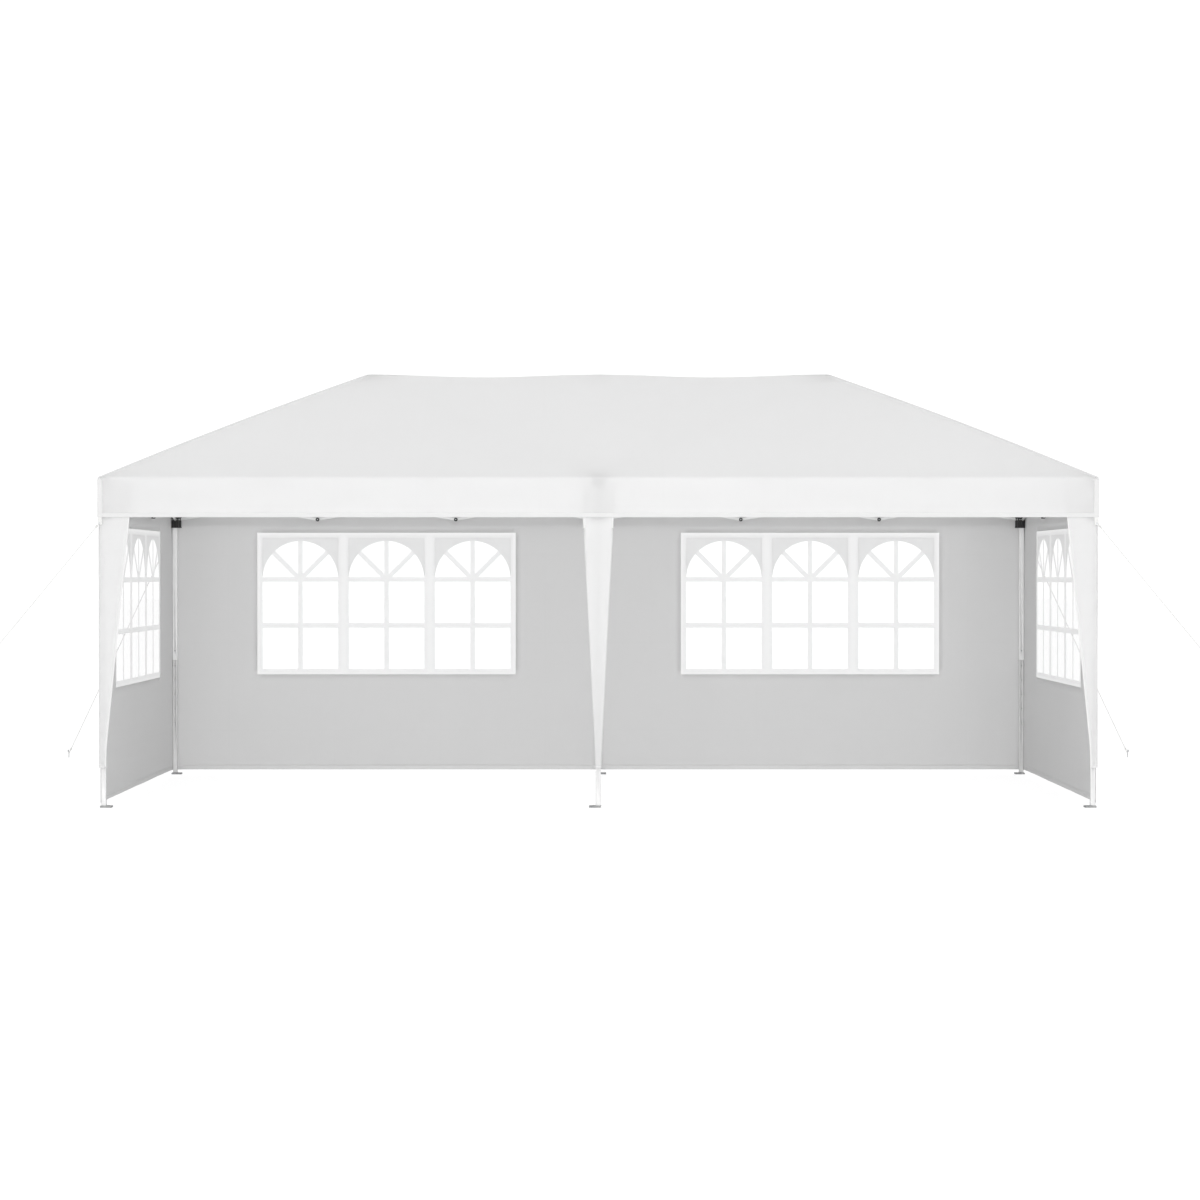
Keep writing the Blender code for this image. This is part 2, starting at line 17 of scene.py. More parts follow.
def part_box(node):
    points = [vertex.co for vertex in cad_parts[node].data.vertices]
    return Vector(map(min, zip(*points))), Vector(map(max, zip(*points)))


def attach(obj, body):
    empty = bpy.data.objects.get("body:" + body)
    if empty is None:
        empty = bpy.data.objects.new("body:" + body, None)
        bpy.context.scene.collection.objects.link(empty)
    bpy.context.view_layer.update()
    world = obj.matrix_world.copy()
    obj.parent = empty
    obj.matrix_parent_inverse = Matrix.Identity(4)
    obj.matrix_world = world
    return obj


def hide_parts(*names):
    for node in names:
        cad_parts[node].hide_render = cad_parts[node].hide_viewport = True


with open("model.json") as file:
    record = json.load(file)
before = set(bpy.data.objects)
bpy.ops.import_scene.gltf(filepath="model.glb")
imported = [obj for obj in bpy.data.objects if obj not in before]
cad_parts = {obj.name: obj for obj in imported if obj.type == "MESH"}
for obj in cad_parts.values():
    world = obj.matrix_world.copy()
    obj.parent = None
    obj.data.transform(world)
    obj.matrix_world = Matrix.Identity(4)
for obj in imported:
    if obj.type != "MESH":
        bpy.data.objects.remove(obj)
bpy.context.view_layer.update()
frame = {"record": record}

bl_info = {
    "name": "Party marquee",
    "version": (1, 0, 0),
    "blender": (4, 5, 0),
    "location": "3D View > Sidebar > Marquee",
    "description": "Builds the looks of a fold-out party marquee around its frame",
    "category": "Object",
}

COLOURS = {entry["slot"]: tuple(entry["base_color"][:3]) for entry in frame["record"]["materials"]}

# Places read from the frame
VALANCE_LOW, VALANCE_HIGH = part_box("valance_front")
HALF_LENGTH, HALF_WIDTH = VALANCE_HIGH.x, -VALANCE_LOW.y
VALANCE_BOTTOM = VALANCE_LOW.z
SOLID_ROOF_THICKNESS, BRACKET_OUTER_REACH, BRACKET_HEIGHT = 0.003, 0.021, 0.060
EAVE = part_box("roof_front")[0].z + SOLID_ROOF_THICKNESS
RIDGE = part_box("roof_front")[1].z
HUB_X = (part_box("rafters_left")[0].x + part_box("rafters_left")[1].x) / -2
LEG_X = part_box("leg_front_right")[1].x - BRACKET_OUTER_REACH
LEG_Y = -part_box("leg_front_right")[0].y - BRACKET_OUTER_REACH
LEGS = {
    row + "_" + side: Vector((across * LEG_X, depth * LEG_Y, 0))
    for row, depth in (("front", -1), ("back", 1))
    for side, across in (("left", -1), ("middle", 0), ("right", 1))
}
LEG_TUBE_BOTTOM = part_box("leg_front_left")[0].z
BRACKET_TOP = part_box("leg_front_left")[1].z
BRACKET_BOTTOM = BRACKET_TOP - BRACKET_HEIGHT
SLIDER_BOTTOM, SLIDER_TOP = (corner.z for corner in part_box("slider_front_left"))
INNER_TUBE_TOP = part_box("lower_leg_front_left")[1].z

# Sizes of the frame's parts
UPPER_TUBE, LOWER_TUBE, TUBE_WALL = 0.034, 0.030, 0.0012
BRACKET_INNER_REACH = 0.030
FORK_TIP, FORK_HALF_WIDTH, FORK_HALF_SLOT, FORK_SLOT_START = 0.044, 0.015, 0.011, 0.0205
TRUSS_CELLS, PIVOT_OFFSET, UPPER_PIVOT, LOWER_PIVOT = 3, 0.030, 1.950, 1.785
BAR_HEIGHT, BAR_THICKNESS, BAR_PLANE, BAR_OVERRUN = 0.018, 0.010, 0.0055, 0.007
BAR_SOFTENING, BAR_SOFT_LENGTH = 0.0012, 0.002
JOINT_RADIUS, JOINT_LENGTH = 0.013, 0.025
FOOT_PLATE, FOOT_PLATE_THICKNESS, FOOT_OFFSET_CORNER, FOOT_OFFSET_MIDDLE = 0.070, 0.010, 0.013, 0.020
HUB_RADIUS, HUB_BOTTOM, HUB_TOP, HUB_TIP = 0.045, 2.595, 2.650, 2.686
RAFTER_SIZE, RAFTER_START, RAFTER_START_HEIGHT, RAFTER_END_HEIGHT = 0.020, 0.056, 1.962, 2.632
POST_SIZE, POST_TOP, POST_CAP_RADIUS = 0.024, 2.660, 0.030

# How finely the cloth is divided
LONG_COLUMNS, END_COLUMNS, SLOPE_ROWS, VALANCE_ROWS = 176, 88, 48, 10
WALL_STEP, COVER_STEP = 0.045, 0.02

# Arched lights in each window
LIGHTS = 3

# The ways a bracket's sides face, and on which of them each leg holds a truss
SIDES = ((1, 0), (0, 1), (-1, 0), (0, -1))
RIGHT, BACK, LEFT, FRONT = range(4)
FORKS = {
    "front_left": (RIGHT, BACK), "front_middle": (RIGHT, BACK, LEFT), "front_right": (LEFT, BACK),
    "back_left": (RIGHT, FRONT), "back_middle": (RIGHT, FRONT, LEFT), "back_right": (LEFT, FRONT),
}


# Settings

def number(name, description, default, **kind):
    return FloatProperty(name=name, description=description, default=default, min=0.0, **kind)


def length(name, description, default):
    return number(name, description, default, precision=4, unit="LENGTH")


def share(name, description, default):
    return number(name, description, default, max=1.0, subtype="FACTOR")


def angle(name, description, degrees):
    return FloatProperty(name=name, description=description, default=math.radians(degrees), subtype="ANGLE")


def colour(name, description, default, factor=1.0):
    """A colour setting, whose default may be the record's colour made darker or lighter."""
    return FloatVectorProperty(
        name=name, description=description, default=[factor * part for part in default],
        size=3, min=0.0, max=1.0, subtype="COLOR",
    )


def grey(name, description, tone):
    return colour(name, description, (tone, tone, tone))


class MarqueeCloth(bpy.types.PropertyGroup):
    canopy_colour: grey("Canopy", "Colour of the roof, valance and leg covers", 0.925)
    wall_colour: colour("Walls", "Colour of the walls", COLOURS["wall_cloth"], 0.95)
    hem_colour: grey("Hems", "Colour of the doubled cloth in the hems of walls and covers", 0.72)
    seam_colour: grey("Seams", "Colour of the doubled cloth in the canopy's seams and hem", 0.69)
    thickness: length("Cloth thickness", "Thickness of the woven cloth", 0.0008)
    tape: length("Weave pitch", "Width of one tape of the weave", 0.0024)
    hem: length("Hem", "Height of the turned hems", 0.025)
    seam: length("Seam", "Width of the lapped seams along the hips and corners", 0.030)
    slope_sag: length("Slope sag", "How far each slope hangs between its hips", 0.015)
    hip_bulge: length("Hip bulge", "How far the hips stand above a straight line", 0.015)
    ridge_dip: length("Ridge dip", "How far the ridge hangs between its hubs and the middle post", 0.018)
    ripple: length("Ripples", "Height of the soft ripples in the roof", 0.0012)
    canopy_glow: share("Canopy glow", "Share of light that each face of the canopy lets through", 0.50)
    wall_glow: share("Wall glow", "Share of light that each face of the walls lets through", 0.30)
    wall_fold: length("Wall folds", "Depth of the hanging folds in the walls", 0.0035)
    fold_spacing: length("Packing folds", "Distance between the creases left by packing", 0.74)
    eave_bend: length("Eave bend", "Radius of the bend where the roof turns down into the valance", 0.010)


class MarqueeWindows(bpy.types.PropertyGroup):
    border: length("Border", "Width of the white border, and of half a mullion", 0.037)
    bar: length("Bar", "Width of the bars in each light", 0.032)
    upper_bar: length("Upper bar", "Height of the upper bar, on which the arch stands", 1.365)
    lower_bar: length("Lower bar", "Height of the lower bar", 1.042)
    arch_rise: length("Arch rise", "Height of the arch above the upper bar", 0.270)
    thickness: length("Trim thickness", "Thickness of the white trim", 0.0014)
    weld: length("Weld", "Width of the welded outer part of the border", 0.018)
    trim_colour: grey("Trim", "Colour of the border and bars", 0.80)
    corner_colour: grey("Spandrels", "Colour of the spandrels over the arches", 0.66)
    weld_glow: share("Weld glow", "Share of the light behind the welded border that shines through it", 0.95)
    glow: share("Bar glow", "Share of the light behind the bars that shines through them", 0.88)
    corner_glow: share("Spandrel glow", "Share of the light behind the spandrels that shines through", 0.78)
    haze: share("Film haze", "How much of the view the clear film hides", 0.05)


class MarqueeFrameParts(bpy.types.PropertyGroup):
    # The coat is a lightened copy of the record's colour, as painted light, and the sliding tubes' tone is a
    # darkened copy of it, as painted shade
    paint: colour("Paint", "Colour of the powder coat", COLOURS["white_paint"], 1.06)
    rubbed_paint: colour(
        "Rubbed paint", "Colour of the powder coat on the sliding tubes", COLOURS["white_paint"], 0.87,
    )
    plastic: colour("Plastic", "Colour of the moulded brackets", COLOURS["black_plastic"])
    steel: colour("Steel", "Colour of bolts and pegs", COLOURS["peg_steel"])
    plate: colour("Foot plates", "Colour of the foot plates", (0.28, 0.285, 0.29))
    rope: colour("Rope", "Colour of the guy ropes and their tabs", COLOURS["rope_fibre"])
    tube_corner: length("Tube corner", "Radius of the leg tubes' corners", 0.004)
    bolt: length("Bolt", "Radius of the bolt heads", 0.006)


class MarqueeStage(bpy.types.PropertyGroup):
    camera_distance: length("Camera distance", "From the middle of the marquee", 18.84)
    camera_height: length("Camera height", "Above the floor", 1.396)
    camera_pitch: angle("Camera pitch", "Downwards", 0.495)
    camera_yaw: angle("Camera yaw", "To the left", -0.034)
    focal_length: number("Focal length", "In millimetres", 86.85)
    sky: number("Sky", "Brightness of the soft light from all round", 1.14)
    side_shade: share("Side shade", "How much less light comes straight from the left and right", 0.50)
    front_light: number("Front light", "Power of the large lamp in front", 720.0)
    floor_white: share("Floor white", "Share of the floor in the picture that is even white", 0.80)
    floor_light: share("Floor light", "Share of the floor that glows, which lights the inside", 0.06)
    backdrop: number("White", "Brightness of the even white in the picture", 1.12)


# Shader maths

WHITE = (1.0, 1.0, 1.0, 1.0)
# Sockets of a Mix node's colours, which share their names with its numbers
MIX_FACTOR, MIX_FIRST, MIX_SECOND, MIXED = 0, 6, 7, 2


class Value:
    """What a node puts out, so that sums on it can be written as Python expressions."""

    def __init__(self, nodes, socket):
        self.nodes, self.socket = nodes, socket

    def maths(self, operation, *values):
        return self.nodes.node("ShaderNodeMath", {"operation": operation}, dict(enumerate(values)))

    def __add__(self, other):
        return self.maths("ADD", self, other)

    __radd__ = __add__

    def __sub__(self, other):
        return self.maths("SUBTRACT", self, other)

    def __rsub__(self, other):
        return self.maths("SUBTRACT", other, self)

    def __mul__(self, other):
        return self.maths("MULTIPLY", self, other)

    __rmul__ = __mul__

    def __abs__(self):
        return self.maths("ABSOLUTE", self)

    def above(self, limit):
        """1 where it is above the limit and 0 elsewhere."""
        return self.maths("GREATER_THAN", self, limit)

    def sine(self):
        return self.maths("SINE", self)

    def fraction(self):
        return self.maths("FRACT", self)

    def larger(self, other):
        return self.maths("MAXIMUM", self, other)

    def rising(self, low, high):
        """0 below low, 1 above high and smooth between them. Falling where low is above high."""
        return self.nodes.node(
            "ShaderNodeMapRange", {"interpolation_type": "SMOOTHSTEP"},
            {"Value": self, "From Min": low, "From Max": high},
        )

    def part(self, name):
        """Another output of the same node."""
        return Value(self.nodes, self.socket.node.outputs[name])


class Nodes:
    """The nodes of a material or of the world."""

    def __init__(self, tree):
        self.tree = tree

    def node(self, kind, settings=None, sockets=None, output=0):
        """Adds a node with its settings, and the values or links of its sockets."""
        made = self.tree.nodes.new(kind)
        for name, value in (settings or {}).items():
            setattr(made, name, value)
        for name, value in (sockets or {}).items():
            self.feed(made.inputs[name], value)
        return Value(self, made.outputs[output])

    def feed(self, socket, value):
        if isinstance(value, Value):
            self.tree.links.new(value.socket, socket)
        else:
            socket.default_value = value

    def blend(self, mask, first, second):
        """The first colour where the mask is 0 and the second where it is 1."""
        sockets = {MIX_FACTOR: mask, MIX_FIRST: first, MIX_SECOND: second}
        return self.node("ShaderNodeMix", {"data_type": "RGBA"}, sockets, MIXED)

    def noise(self, vector, scale, detail=3.0, roughness=0.5, distortion=0.0):
        sockets = {"Scale": scale, "Detail": detail, "Roughness": roughness, "Distortion": distortion}
        return self.node("ShaderNodeTexNoise", None, {"Vector": vector, **sockets})

    def split(self, vector):
        """A node whose parts X, Y and Z are the vector's."""
        return self.node("ShaderNodeSeparateXYZ", None, {"Vector": vector})


class Look(Nodes):
    """A Principled material. What is the same all over is set straight on its shader."""

    def __init__(self, name, constants):
        self.material = bpy.data.materials.new(name)
        self.material.use_nodes = True
        super().__init__(self.material.node_tree)
        self.shader = self.tree.nodes["Principled BSDF"]
        for socket, value in constants.items():
            self.shader.inputs[socket].default_value = value

    def wear(self, colour, roughness, relief=None, alpha=1.0):
        """Feeds what changes over the surface. The relief is a height in metres."""
        for socket, value in (("Base Color", colour), ("Roughness", roughness), ("Alpha", alpha)):
            self.feed(self.shader.inputs[socket], value)
        if relief:
            bump = self.node("ShaderNodeBump", None, {"Height": relief, "Distance": 1.0})
            self.feed(self.shader.inputs["Normal"], bump)
        return self

    def mixed(self, part, other):
        """Shows another shader for this part, and the Principled one for the rest."""
        own = Value(self, self.shader.outputs[0])
        both = self.node("ShaderNodeMixShader", None, {0: part, 1: own, 2: other})
        self.feed(self.tree.nodes["Material Output"].inputs["Surface"], both)
        return self

    def lets_through(self, part, tint=WHITE):
        """Lets this share of the light behind the surface shine through it."""
        return self.mixed(part, self.node("ShaderNodeBsdfTranslucent", None, {"Color": tint}))

    def place(self):
        """Where a point is, in metres."""
        return self.node("ShaderNodeTexCoord").part("Object")

    def cut(self):
        """Where a point is on the flat cut cloth, in metres: as a vector, across and along."""
        flat = self.node("ShaderNodeUVMap", {"uv_map": "cut"})
        split = self.split(flat)
        return flat, split.part("X"), split.part("Y")


def tinted(tone, factor):
    """The colour made darker or lighter, as four numbers."""
    return (*(min(1.0, part * factor) for part in tone), 1.0)


def shared(make):
    """Makes a look once and gives the same one afterwards."""
    made = {}

    def look(*values):
        if values not in made:
            made[values] = make(*values).material
        return made[values]
    return look


def creases(line, spacing, half_width):
    """1 along evenly spaced lines and 0 away from them."""
    off = abs((line * (1 / spacing)).fraction() - 0.5) * spacing
    return off.rising(half_width, 0.0)


def woven(name, tone, through):
    """Cloth woven of flat tapes, with the creases and soft ripples that packing leaves. Its colour is
    darkened along the creases as painted shade, and lightened where the tapes and ripples stand up as a
    painted highlight, on top of a random unevenness of tone.
    """
    cloth = bpy.context.scene.marquee_cloth
    look = Look(name, {"Specular IOR Level": 0.32, "Sheen Weight": 0.05, "Sheen Roughness": 0.6})
    flat, across, along = look.cut()
    warp = (across * (math.pi / cloth.tape)).sine()
    weft = (along * (math.pi / cloth.tape)).sine()
    over = (warp * weft).above(0.0)
    weave = over * abs(warp) + (1.0 - over) * abs(weft)
    # Mask of the packing creases: it dents the cloth there and darkens its colour as painted shade
    crease_and_shade = creases(across, cloth.fold_spacing, 0.010)
    crease_and_shade = crease_and_shade.larger(creases(along, cloth.fold_spacing * 0.83, 0.010))
    cloud = look.noise(flat, 0.9, 2.0)
    rumple = look.noise(flat, 11.0, 4.0, 0.55, 0.6)
    # Lighter colour on the raised tapes and ripple crests, a painted highlight, mixed with a random
    # unevenness of tone
    highlight_and_unevenness = (cloud * 0.55 + rumple * 0.25 + weave * 0.20).rising(0.15, 0.80)
    pale = look.blend(highlight_and_unevenness, tinted(tone, 0.972), tinted(tone, 1.004))
    look.wear(
        colour=look.blend(crease_and_shade * 0.20, pale, tinted(tone, 0.95)),
        roughness=0.50 + rumple * 0.16 + weave * 0.06,
        relief=weave * 0.00010 + rumple * 0.0011 + crease_and_shade * 0.0003,
    )
    return look.lets_through(through, tinted(tone, 1.0)) if through else look


@shared
def canopy_cloth():
    """The cloth of the roof, the valance and the leg covers."""
    cloth = bpy.context.scene.marquee_cloth
    return woven("canopy cloth", cloth.canopy_colour, cloth.canopy_glow)


@shared
def wall_cloth():
    """The cloth of the walls."""
    cloth = bpy.context.scene.marquee_cloth
    return woven("wall cloth", cloth.wall_colour, cloth.wall_glow)


@shared
def doubled_cloth(part):
    """The hem_colour or seam_colour cloth, which is doubled and lets no light through."""
    return woven("doubled cloth", getattr(bpy.context.scene.marquee_cloth, part), 0.0)


def milky(name, tone):
    """Milky white film, a little smeared, that glows when light is behind it."""
    look = Look(name, {"Specular IOR Level": 0.4})
    smear = look.noise(look.place(), 14.0, 3.0)
    return look.wear(
        colour=look.blend(smear.rising(0.3, 0.7), tinted(tone, 0.97), tinted(tone, 1.03)),
        roughness=0.32 + smear * 0.2,
        relief=smear * 0.0012,
    )


@shared
def window_trim(width, height):
    """The white bars. Their border is welded to the wall along its outer part, which glows more."""
    windows = bpy.context.scene.marquee_windows
    look = milky("window trim", windows.trim_colour)
    spot = look.split(look.place())
    light = width / LIGHTS
    beside = 0.5 * light - abs((spot.part("X") * (1 / light)).fraction() - 0.5) * light
    above = 0.5 * height - abs(spot.part("Y") - 0.5 * height)
    outer, inner = windows.weld - 0.001, windows.weld + 0.001
    welded = beside.rising(inner, outer).larger(above.rising(inner, outer))
    return look.lets_through(windows.glow + welded * (windows.weld_glow - windows.glow))


@shared
def window_corners():
    """The spandrels over the arches."""
    windows = bpy.context.scene.marquee_windows
    return milky("window spandrel", windows.corner_colour).lets_through(windows.corner_glow)


@shared
def clear_film():
    """Clear film that ripples a little, and hides more of the view where it is seen from the side."""
    haze = bpy.context.scene.marquee_windows.haze
    look = Look("clear film", {"Specular IOR Level": 0.6, "IOR": 1.45})
    place = look.place()
    ripple = look.noise(place, 3.5, 3.0, 0.5, 0.5)
    smudge = look.noise(place, 16.0, 4.0)
    grazing = look.node("ShaderNodeLayerWeight", None, {"Blend": 0.25}).part("Fresnel")
    return look.wear(
        colour=look.blend(smudge, (0.93, 0.95, 0.96, 1.0), (0.98, 0.99, 1.0, 1.0)),
        roughness=0.06 + smudge * 0.14,
        relief=ripple * 0.010,
        alpha=haze + smudge * 0.02 + grazing * 0.05,
    )


@shared
def white_paint(part="paint"):
    """Powder coat on steel, in the tone paint or in the sliding tubes' tone: a fine orange peel, a little
    dulled here and there. The tone paint is the coat lightened as painted light, and the sliding tubes' tone
    is the coat darkened as painted shade.
    """
    tone = getattr(bpy.context.scene.marquee_parts, part)
    look = Look("white " + part, {"Coat Weight": 0.15, "Coat Roughness": 0.25})
    place = look.place()
    peel = look.noise(place, 420.0, 2.0)
    dull = look.noise(place, 7.0, 4.0, 0.6)
    return look.wear(
        colour=look.blend(dull.rising(0.3, 0.75), tinted(tone, 1.03), tinted(tone, 0.95)),
        roughness=0.30 + dull * 0.22,
        relief=peel * 0.00006,
    )


@shared
def black_plastic():
    """Moulded plastic with a fine grain and greyer, rubbed places."""
    tone = bpy.context.scene.marquee_parts.plastic
    look = Look("black plastic", {"Specular IOR Level": 0.45})
    place = look.place()
    grain = look.noise(place, 900.0, 2.0)
    rubbed = look.noise(place, 45.0, 4.0, 0.6)
    return look.wear(
        colour=look.blend(rubbed.rising(0.5, 0.8), tinted(tone, 1.0), tinted(tone, 2.2)),
        roughness=0.42 + rubbed * 0.2,
        relief=grain * 0.00008,
    )


@shared
def plated_steel():
    """Zinc-plated steel with spangles and fine scratches."""
    tone = bpy.context.scene.marquee_parts.steel
    look = Look("plated steel", {"Metallic": 0.9})
    place = look.place()
    spangle = look.node("ShaderNodeTexVoronoi", None, {"Vector": place, "Scale": 160.0})
    scratch = look.noise(place, 240.0, 3.0, 0.7, 1.5)
    return look.wear(
        colour=look.blend(spangle.rising(0.0, 0.9), tinted(tone, 1.1), tinted(tone, 0.85)),
        roughness=0.30 + scratch * 0.25,
        relief=scratch * 0.00005,
    )


@shared
def plate_grey():
    """Painted steel, scuffed and dusty round its edges."""
    tone = bpy.context.scene.marquee_parts.plate
    look = Look("foot plate grey", {"Specular IOR Level": 0.4})
    place = look.place()
    scuff = look.noise(place, 70.0, 5.0, 0.65)
    dust = look.noise(place, 18.0, 3.0)
    worn = look.blend(scuff.rising(0.55, 0.75), tinted(tone, 1.0), tinted(tone, 1.25))
    return look.wear(
        colour=look.blend(dust.rising(0.45, 0.8) * 0.5, worn, (0.56, 0.55, 0.53, 1.0)),
        roughness=0.45 + scuff * 0.25,
        relief=scuff * 0.0002,
    )


@shared
def braided():
    """Braided cord: strands that cross at a slant, with a little fluff. Its colour is darkened between the
    strands as painted shade and lightened on their crests as a painted highlight.
    """
    tone = bpy.context.scene.marquee_parts.rope
    look = Look("braided cord", {"Specular IOR Level": 0.25, "Sheen Weight": 0.2})
    flat, around, along = look.cut()
    strand = 0.0026
    one_way = ((along + around) * (math.pi / strand)).sine()
    other_way = ((along - around) * (math.pi / strand)).sine()
    # Height of the strands, which also sets the colour: painted shade between them, painted highlight on
    # their crests
    braid = abs(one_way * other_way)
    fluff = look.noise(flat, 500.0, 3.0)
    return look.wear(
        colour=look.blend(braid, tinted(tone, 0.80), tinted(tone, 1.03)),
        roughness=0.75 + fluff * 0.15,
        relief=braid * 0.0003 + fluff * 0.00008,
    )


# Making meshes

def added(name, data):
    """An object in the scene that shows this mesh, curve, lamp or camera."""
    made = bpy.data.objects.new(name, data)
    bpy.context.scene.collection.objects.link(made)
    return made


def evaluated(made):
    """The mesh that an object's curve or modifiers give. The object itself goes."""
    bpy.context.view_layer.update()
    mesh = bpy.data.meshes.new_from_object(made.evaluated_get(bpy.context.evaluated_depsgraph_get()))
    mesh.name = made.name
    bpy.data.objects.remove(made)
    return mesh


def cut_map(shape):
    """The map of where each corner of a face is on the flat cut cloth, in metres."""
    return shape.loops.layers.uv.get("cut") or shape.loops.layers.uv.new("cut")


def lofted(shape, rings, closed=False):
    """Skins rings that hold the same number of points, and caps the ends unless the last meets the first."""
    cut = cut_map(shape)
    made = [[shape.verts.new(point) for point in ring] for ring in rings]
    count = len(rings[0])
    around = [0.0]
    for index in range(count):
        step = Vector(rings[0][index]) - Vector(rings[0][(index + 1) % count])
        around.append(around[-1] + step.length)
    along = 0.0
    for index in range(len(rings) if closed else len(rings) - 1):
        after = (index + 1) % len(rings)
        further = along + (Vector(rings[index][0]) - Vector(rings[after][0])).length
        for side in range(count):
            corner = (side + 1) % count
            face = shape.faces.new((
                made[index][side], made[index][corner], made[after][corner], made[after][side],
            ))
            places = (
                (around[side], along), (around[side + 1], along),
                (around[side + 1], further), (around[side], further),
            )
            for loop, flat in zip(face.loops, places):
                loop[cut].uv = flat
        along = further
    if not closed:
        shape.faces.new(made[0][::-1])
        shape.faces.new(made[-1])


def swept(shape, path, profile, up=(0, 0, 1), closed=False):
    """Carries a profile of (sideways, upwards) points along a path. up is one direction or a list of them."""
    ups = up if isinstance(up, list) else [Vector(up)] * len(path)
    last = len(path) - 1
    rings = []
    for index, point in enumerate(path):
        before = path[index - 1] if closed or index > 0 else point
        after = path[(index + 1) % len(path)] if closed or index < last else point
        ahead = (after - before).normalized()
        side = ahead.cross(ups[index]).normalized()
        top = side.cross(ahead)
        rings.append([point + side * across + top * height for across, height in profile])
    lofted(shape, rings, closed)


def rounded(half_width, half_height, radius, steps=3):
    """A rectangle with round corners, about its middle."""
    points = []
    for quarter, (x, y) in enumerate(((1, 1), (-1, 1), (-1, -1), (1, -1))):
        for step in range(steps + 1):
            turn = math.pi / 2 * (quarter + step / steps)
            points.append((
                x * (half_width - radius) + radius * math.cos(turn),
                y * (half_height - radius) + radius * math.sin(turn),
            ))
    return points


def circle(radius, sides):
    """Points round a circle."""
    turns = [2 * math.pi * index / sides for index in range(sides)]
    return [(radius * math.cos(turn), radius * math.sin(turn)) for turn in turns]


def turned(shape, centre, axis, profile, sides):
    """A turned piece from (radius, distance along the axis) points. Its first and last ring are capped."""
    turn = Vector(axis).to_track_quat("Z", "X").to_matrix()
    rings = [
        [Vector(centre) + turn @ Vector((x, y, distance)) for x, y in circle(radius, sides)]
        for radius, distance in profile
    ]
    lofted(shape, rings)


def bolt(shape, centre, axis, half_length, radius):
    """A bolt through a joint, with a domed head at one end and a nut at the other."""
    height = radius * 0.55
    turned(shape, centre, axis, [
        (radius * 0.55, -half_length - height), (radius * 0.92, -half_length - height * 0.7),
        (radius, -half_length), (radius * 0.5, -half_length), (radius * 0.5, half_length),
        (radius, half_length),
    ], 16)
    turned(shape, Vector(centre) + Vector(axis).normalized() * half_length, axis, [
        (radius, 0.0), (radius, height * 0.8), (radius * 0.85, height), (radius * 0.5, height),
        (radius * 0.5, height * 1.5), (radius * 0.3, height * 1.7),
    ], 6)


def hollow_tube(half, bottom, top, corner):
    """An upright square tube with round corners and softened ends."""
    lip = TUBE_WALL * 0.4
    inner = half - TUBE_WALL
    sections = (
        (half - lip, bottom), (half, bottom + lip), (half, top - lip), (half - lip, top),
        (inner + lip, top), (inner, top - lip), (inner, bottom + lip), (inner + lip, bottom),
    )
    shape = bmesh.new()
    lofted(shape, [
        [(x, y, height) for x, y in rounded(reach, reach, max(corner - (half - reach), 0.001), 4)]
        for reach, height in sections
    ], closed=True)
    return shape


def straight_bar(shape, start, end, half_width, half_height, corner):
    """A rounded bar from one point to another, with softened ends."""
    start, end = Vector(start), Vector(end)
    way = (end - start).normalized()
    level = way.cross(Vector((0, 0, 1)))
    side = level.normalized() if level.length else Vector((0, -1, 0))
    top = side.cross(way)
    rings = []
    for point, inset in (
        (start, BAR_SOFTENING), (start + way * BAR_SOFT_LENGTH, 0.0),
        (end - way * BAR_SOFT_LENGTH, 0.0), (end, BAR_SOFTENING),
    ):
        section = rounded(half_width - inset, half_height - inset, max(corner - inset, 0.0004))
        rings.append([point + side * x + top * y for x, y in section])
    lofted(shape, rings)


def filled(outlines, low, high):
    """A solid that stands from low to high, from flat outlines filled between the outer and inner ones."""
    curve = bpy.data.curves.new("outline", "CURVE")
    curve.dimensions = "2D"
    curve.fill_mode = "BOTH"
    curve.extrude = 1.0
    for outline in outlines:
        spline = curve.splines.new("POLY")
        spline.points.add(len(outline) - 1)
        for point, (x, y) in zip(spline.points, outline):
            point.co = (x, y, 0.0, 1.0)
        spline.use_cyclic_u = True
    mesh = evaluated(added("outline", curve))
    bpy.data.curves.remove(curve)
    shape = bmesh.new()
    shape.from_mesh(mesh)
    bpy.data.meshes.remove(mesh)
    if not shape.faces:
        raise RuntimeError("An outline couldn't be filled")
    bmesh.ops.remove_doubles(shape, verts=shape.verts[:], dist=0.00001)
    for vertex in shape.verts:
        vertex.co.z = low if vertex.co.z < 0 else high
    return shape


def grid(shape, us, vs, place, cut):
    """A sheet through place(u, v), with cut(u, v) as its place on the flat cloth."""
    layer = cut_map(shape)
    points = [[shape.verts.new(place(u, v)) for u in us] for v in vs]
    flat = [[cut(u, v) for u in us] for v in vs]
    for row in range(len(vs) - 1):
        for column in range(len(us) - 1):
            corners = ((row, column), (row, column + 1), (row + 1, column + 1), (row + 1, column))
            face = shape.faces.new([points[i][j] for i, j in corners])
            for loop, (i, j) in zip(face.loops, corners):
                loop[layer].uv = flat[i][j]


def mesh_of(name, shape, smooth_below=35.0):
    """A mesh from a bmesh, which it uses up, smooth apart from its sharp edges."""
    bmesh.ops.recalc_face_normals(shape, faces=shape.faces[:])
    mesh = bpy.data.meshes.new(name)
    shape.to_mesh(mesh)
    shape.free()
    mesh.shade_smooth()
    mesh.set_sharp_from_angle(angle=math.radians(smooth_below))
    return mesh


